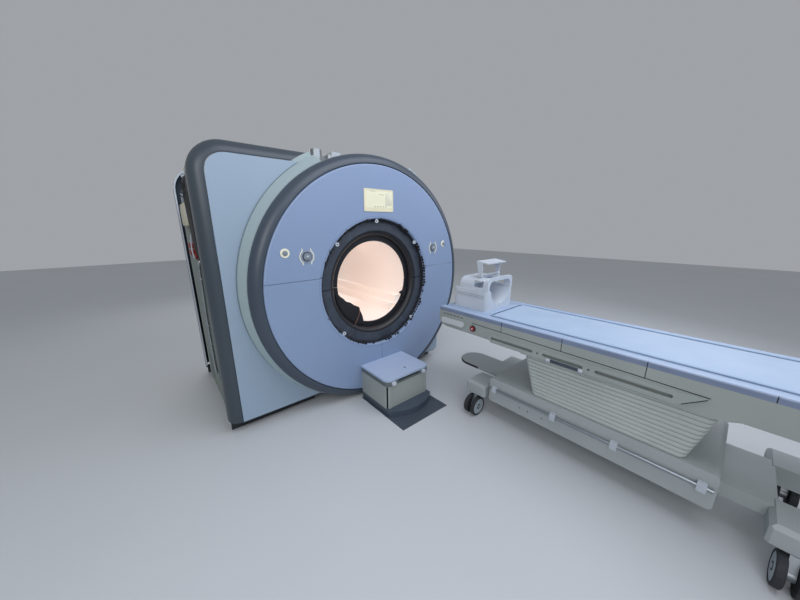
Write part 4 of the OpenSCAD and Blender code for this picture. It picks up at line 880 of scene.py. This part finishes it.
shape = bmesh.new()
hose = [place(-1186, 560, 1222), place(-1199, 566, 1180), place(-1201, 590, 980),
        place(-1201, 640, 760), place(-1201, 650, 520), place(-1199, 640, 330), place(-1186, 640, 300)]
swept_section(shape, smooth_path(hose, 12), round_section(10, 14), up=Vector((1, 0, 0)))
finished_piece("braided_hose", shape, braid, "magnet")
shape = bmesh.new()
for behind, height in ((577, 1090), (640, 720), (650, 560)):
    bevelled_block(shape, place(CABINET_FACE - 16, behind - 16, height - 8),
                   place(CABINET_FACE, behind + 16, height + 8), 2)
for height in (345, 385):
    turned_profile(shape, [(15, 0), (15, -8), (11, -10), (11, -18), (3, -18)],
                   place(CABINET_FACE, 450, height), "X", 24)
for behind in (390, 800, 1210):
    for height in (90, 360, 420, 800, 850, 1190):
        turned_profile(shape, [(6, 1), (6, -2.6), (4.6, -4), (1, -4)],
                       place(CABINET_FACE, behind, height), "X", 12)
finished_piece("hose_clips_and_screws", shape, steel_fork, "magnet")

# A flat terminal box hangs on the rack's edge plate, a row of small valves stands on the shelf, and
# a manifold on the cabinet's top carries red water couplings.
shape = bmesh.new()
bevelled_block(shape, place(RACK_FACE - 18, 830, 1470), place(RACK_FACE, 1160, 1638), 4)
bevelled_block(shape, place(RACK_FACE - 21, 850, 1490), place(RACK_FACE - 17, 1140, 1600), 1.5)
finished_piece("terminal_box", shape, coat_cream, "magnet")

shape = bmesh.new()
bevelled_block(shape, place(-1186, 850, CABINET_TOP), place(-1150, 1020, 1345), 4)
for height in (1262, 1314):
    for behind in (884, 935, 986):
        turned_profile(shape, [(18, 1), (18, -6), (23, -8), (23, -15), (14, -17), (14, -23), (1, -23)],
                       place(-1186, behind, height), "X", 20)
finished_piece("water_couplings", shape, abs_red, "magnet")

pale_valves, dark_valves = bmesh.new(), bmesh.new()
bevelled_block(dark_valves, place(-1187, 780, SHELF_TOP), place(-1150, 1190, SHELF_TOP + 7), 2)
for k in range(9):
    high = 34 + 14 * (k * 2 % 3)
    turned_profile(dark_valves if k % 2 else pale_valves,
                   [(15, -1), (15, high), (9, high + 3), (9, high + 14), (16, high + 16), (16, high + 24),
                    (1, high + 24)], place(-1170, 800 + 46 * k, SHELF_TOP + 7), "Z", 18)
finished_piece("shelf_valves_pale", pale_valves, abs_white, "magnet")
finished_piece("shelf_valves_dark", dark_valves, abs_slate, "magnet")
print("service side pieces:", 10)

# %% [markdown]
# ## Painted highlight on the edge of the rear cover
# The bare edge of the rear cover catches the light and draws the outline of the cover behind the
# service side. A pale strip swept along it is a painted highlight for that lit edge.

# %% Rear edge highlight
lit_edge_out, lit_edge_top, lit_edge_turn, lit_edge_back, lit_edge_foot = 1210, 1974, 206, 1366, 96
edge = [place(-lit_edge_out, lit_edge_back, height) for height in (lit_edge_foot, 1200)]
for side, first in ((-1, 180), (1, 90)):
    for step in range(0, 91, 10):
        a = math.radians(first - step)
        edge.append(place(side * (lit_edge_out - lit_edge_turn) + lit_edge_turn * math.cos(a), lit_edge_back,
                          lit_edge_top - lit_edge_turn + lit_edge_turn * math.sin(a)))
edge += [place(lit_edge_out, lit_edge_back, height) for height in (1200, lit_edge_foot)]
shape = bmesh.new()
swept_section(shape, edge, [(-0.009, -0.004), (0.003, -0.004), (0.003, 0.004), (-0.009, 0.004)],
              up=Vector((0, 1, 0)))
# The pale strip is a painted highlight on the lit edge of the cover
rear_edge_highlight = finished_piece("rear_edge_highlight", shape, abs_white, "magnet")
print("trim points:", len(rear_edge_highlight.data.vertices))

# %% [markdown]
# ## Head coil grooves
# The coil's lower shell has two long grooves on each side, where the upper shell's latches slide.
# Thin dark strips half a millimetre proud stand for the shadow in them.

# %% Coil grooves
shape = bmesh.new()
for side in (-1, 1):
    for height in (905, 918):
        side_block(shape, side, (184.5, 186.2), (430, 690), (height, height + 3), 0.3)
finished_piece("coil_grooves", shape, abs_grey, "patient_board")
print("coil grooves ready")

# %% [markdown]
# ## Mattress
# The mattress is a 30 mm foam pad in a welded vinyl cover. On the real one the cover is sewn a
# little slack, so the top crowns and dimples between the welded edges. The pad starts as a slightly
# smaller block, its skin is remeshed evenly, and a short cloth run with air pressure swells it. No
# point may go further than a few millimetres, and the pad stays in its tray and flat on the board.
# A welt runs round the upper edge, where the two halves of the cover are welded.

# %% Mattress
def worked_mesh(piece):
    return bpy.data.meshes.new_from_object(piece.evaluated_get(bpy.context.evaluated_depsgraph_get()))


def swell(piece, voxel_mm, cap_mm):
    skin = piece.modifiers.new("even_skin", "REMESH")
    skin.mode = "VOXEL"
    skin.voxel_size = voxel_mm / 1000
    piece.data = worked_mesh(piece)
    piece.modifiers.clear()
    before = [v.co.copy() for v in piece.data.vertices]
    air = piece.modifiers.new("air", "CLOTH")
    air.settings.use_pressure = True
    air.settings.uniform_pressure_force = 4
    air.settings.effector_weights.gravity = 0
    for step in range(1, 21):
        bpy.context.scene.frame_set(step)
    swollen = worked_mesh(piece)
    piece.modifiers.clear()
    piece.data = swollen
    bpy.context.scene.frame_set(1)
    for v, start in zip(piece.data.vertices, before):
        way = v.co - start
        if way.length > cap_mm / 1000:
            v.co = start + way.normalized() * cap_mm / 1000


shape = bmesh.new()
bevelled_block(shape, on_table(-236, 2724, 782), on_table(236, 786, 805), 6)
mattress = finished_piece("padded_mattress", shape, vinyl, "patient_board")
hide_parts("mattress")
swell(mattress, 13, 6)
tray_low, tray_high = on_table(-237.5, 2726, 780.6), on_table(237.5, 784, 811)
for v in mattress.data.vertices:
    for k in range(3):
        v.co[k] = min(max(v.co[k], tray_low[k]), tray_high[k])
smooth = mattress.modifiers.new("smooth", "SUBSURF")
smooth.levels = smooth.render_levels = 1
mattress.data = worked_mesh(mattress)
mattress.modifiers.clear()
mattress.data.shade_smooth()
print("mattress points:", len(mattress.data.vertices))

shape = bmesh.new()
mattress_middle = 1755
welt_path = rounded_ring(236, 968, 803.5, 36, 6, mattress_middle)
swept_section(shape, welt_path, round_section(5, 8), closed=True)
mattress_welt = finished_piece("mattress_welt", shape, vinyl, "patient_board")
print("welt points:", len(mattress_welt.data.vertices))

# %% [markdown]
# ## Light
# A hospital room is lit by large flat panels, so shadows are soft and reflections are broad. Four
# big area lamps stand in for them, overhead, to the left and right of the camera and behind the
# magnet, with a pale sky all round. The floor is plain and pale, so that it throws soft light back.

# %% Light and floor
def soft_lamp(name, where, aim, size, watts, colour):
    lamp = bpy.data.objects.new(name, bpy.data.lights.new(name, "AREA"))
    lamp.data.shape = "RECTANGLE"
    lamp.data.size, lamp.data.size_y = size
    lamp.data.energy = watts
    lamp.data.color = linear(colour)[:3]
    lamp.location = where
    lamp.rotation_euler = (Vector(aim) - Vector(where)).to_track_quat("-Z", "Y").to_euler()
    bpy.context.scene.collection.objects.link(lamp)


soft_lamp("ceiling_panel", (0.6, -2.7, 3.5), (0.2, -1.1, 0.7), (3.4, 2.2), 70, "#f2f5ff")
soft_lamp("room_panel", (-3.2, -3.6, 2.8), (0.2, -0.6, 0.9), (2.4, 2.0), 56, "#ffffff")
soft_lamp("right_panel", (3.6, -2.6, 2.6), (0.4, -1.0, 0.8), (2.4, 2.0), 26, "#eef2ff")
soft_lamp("back_panel", (0.0, 3.6, 3.0), (0.0, 0.4, 1.0), (3.0, 2.0), 30, "#ffffff")

world = bpy.data.worlds.new("room_air")
bpy.context.scene.world = world
world.use_nodes = True
sky = world.node_tree.nodes["Background"]
sky.inputs["Color"].default_value = linear("#e6eaf0")
sky.inputs["Strength"].default_value = 0.44

floor_finish = mottled("floor_pale", "#c4c8cc", 0.55, ("#bfc4c8", "#cacdd1"), 1500, 2)
floor_mesh = bpy.data.meshes.new("floor")
floor_mesh.from_pydata([(-14, -14, 0), (14, -14, 0), (14, 14, 0), (-14, 14, 0)], [], [(0, 1, 2, 3)])
floor_mesh.materials.append(floor_finish)
floor = bpy.data.objects.new("floor", floor_mesh)
bpy.context.scene.collection.objects.link(floor)
print("lamps:", len(bpy.data.lights))
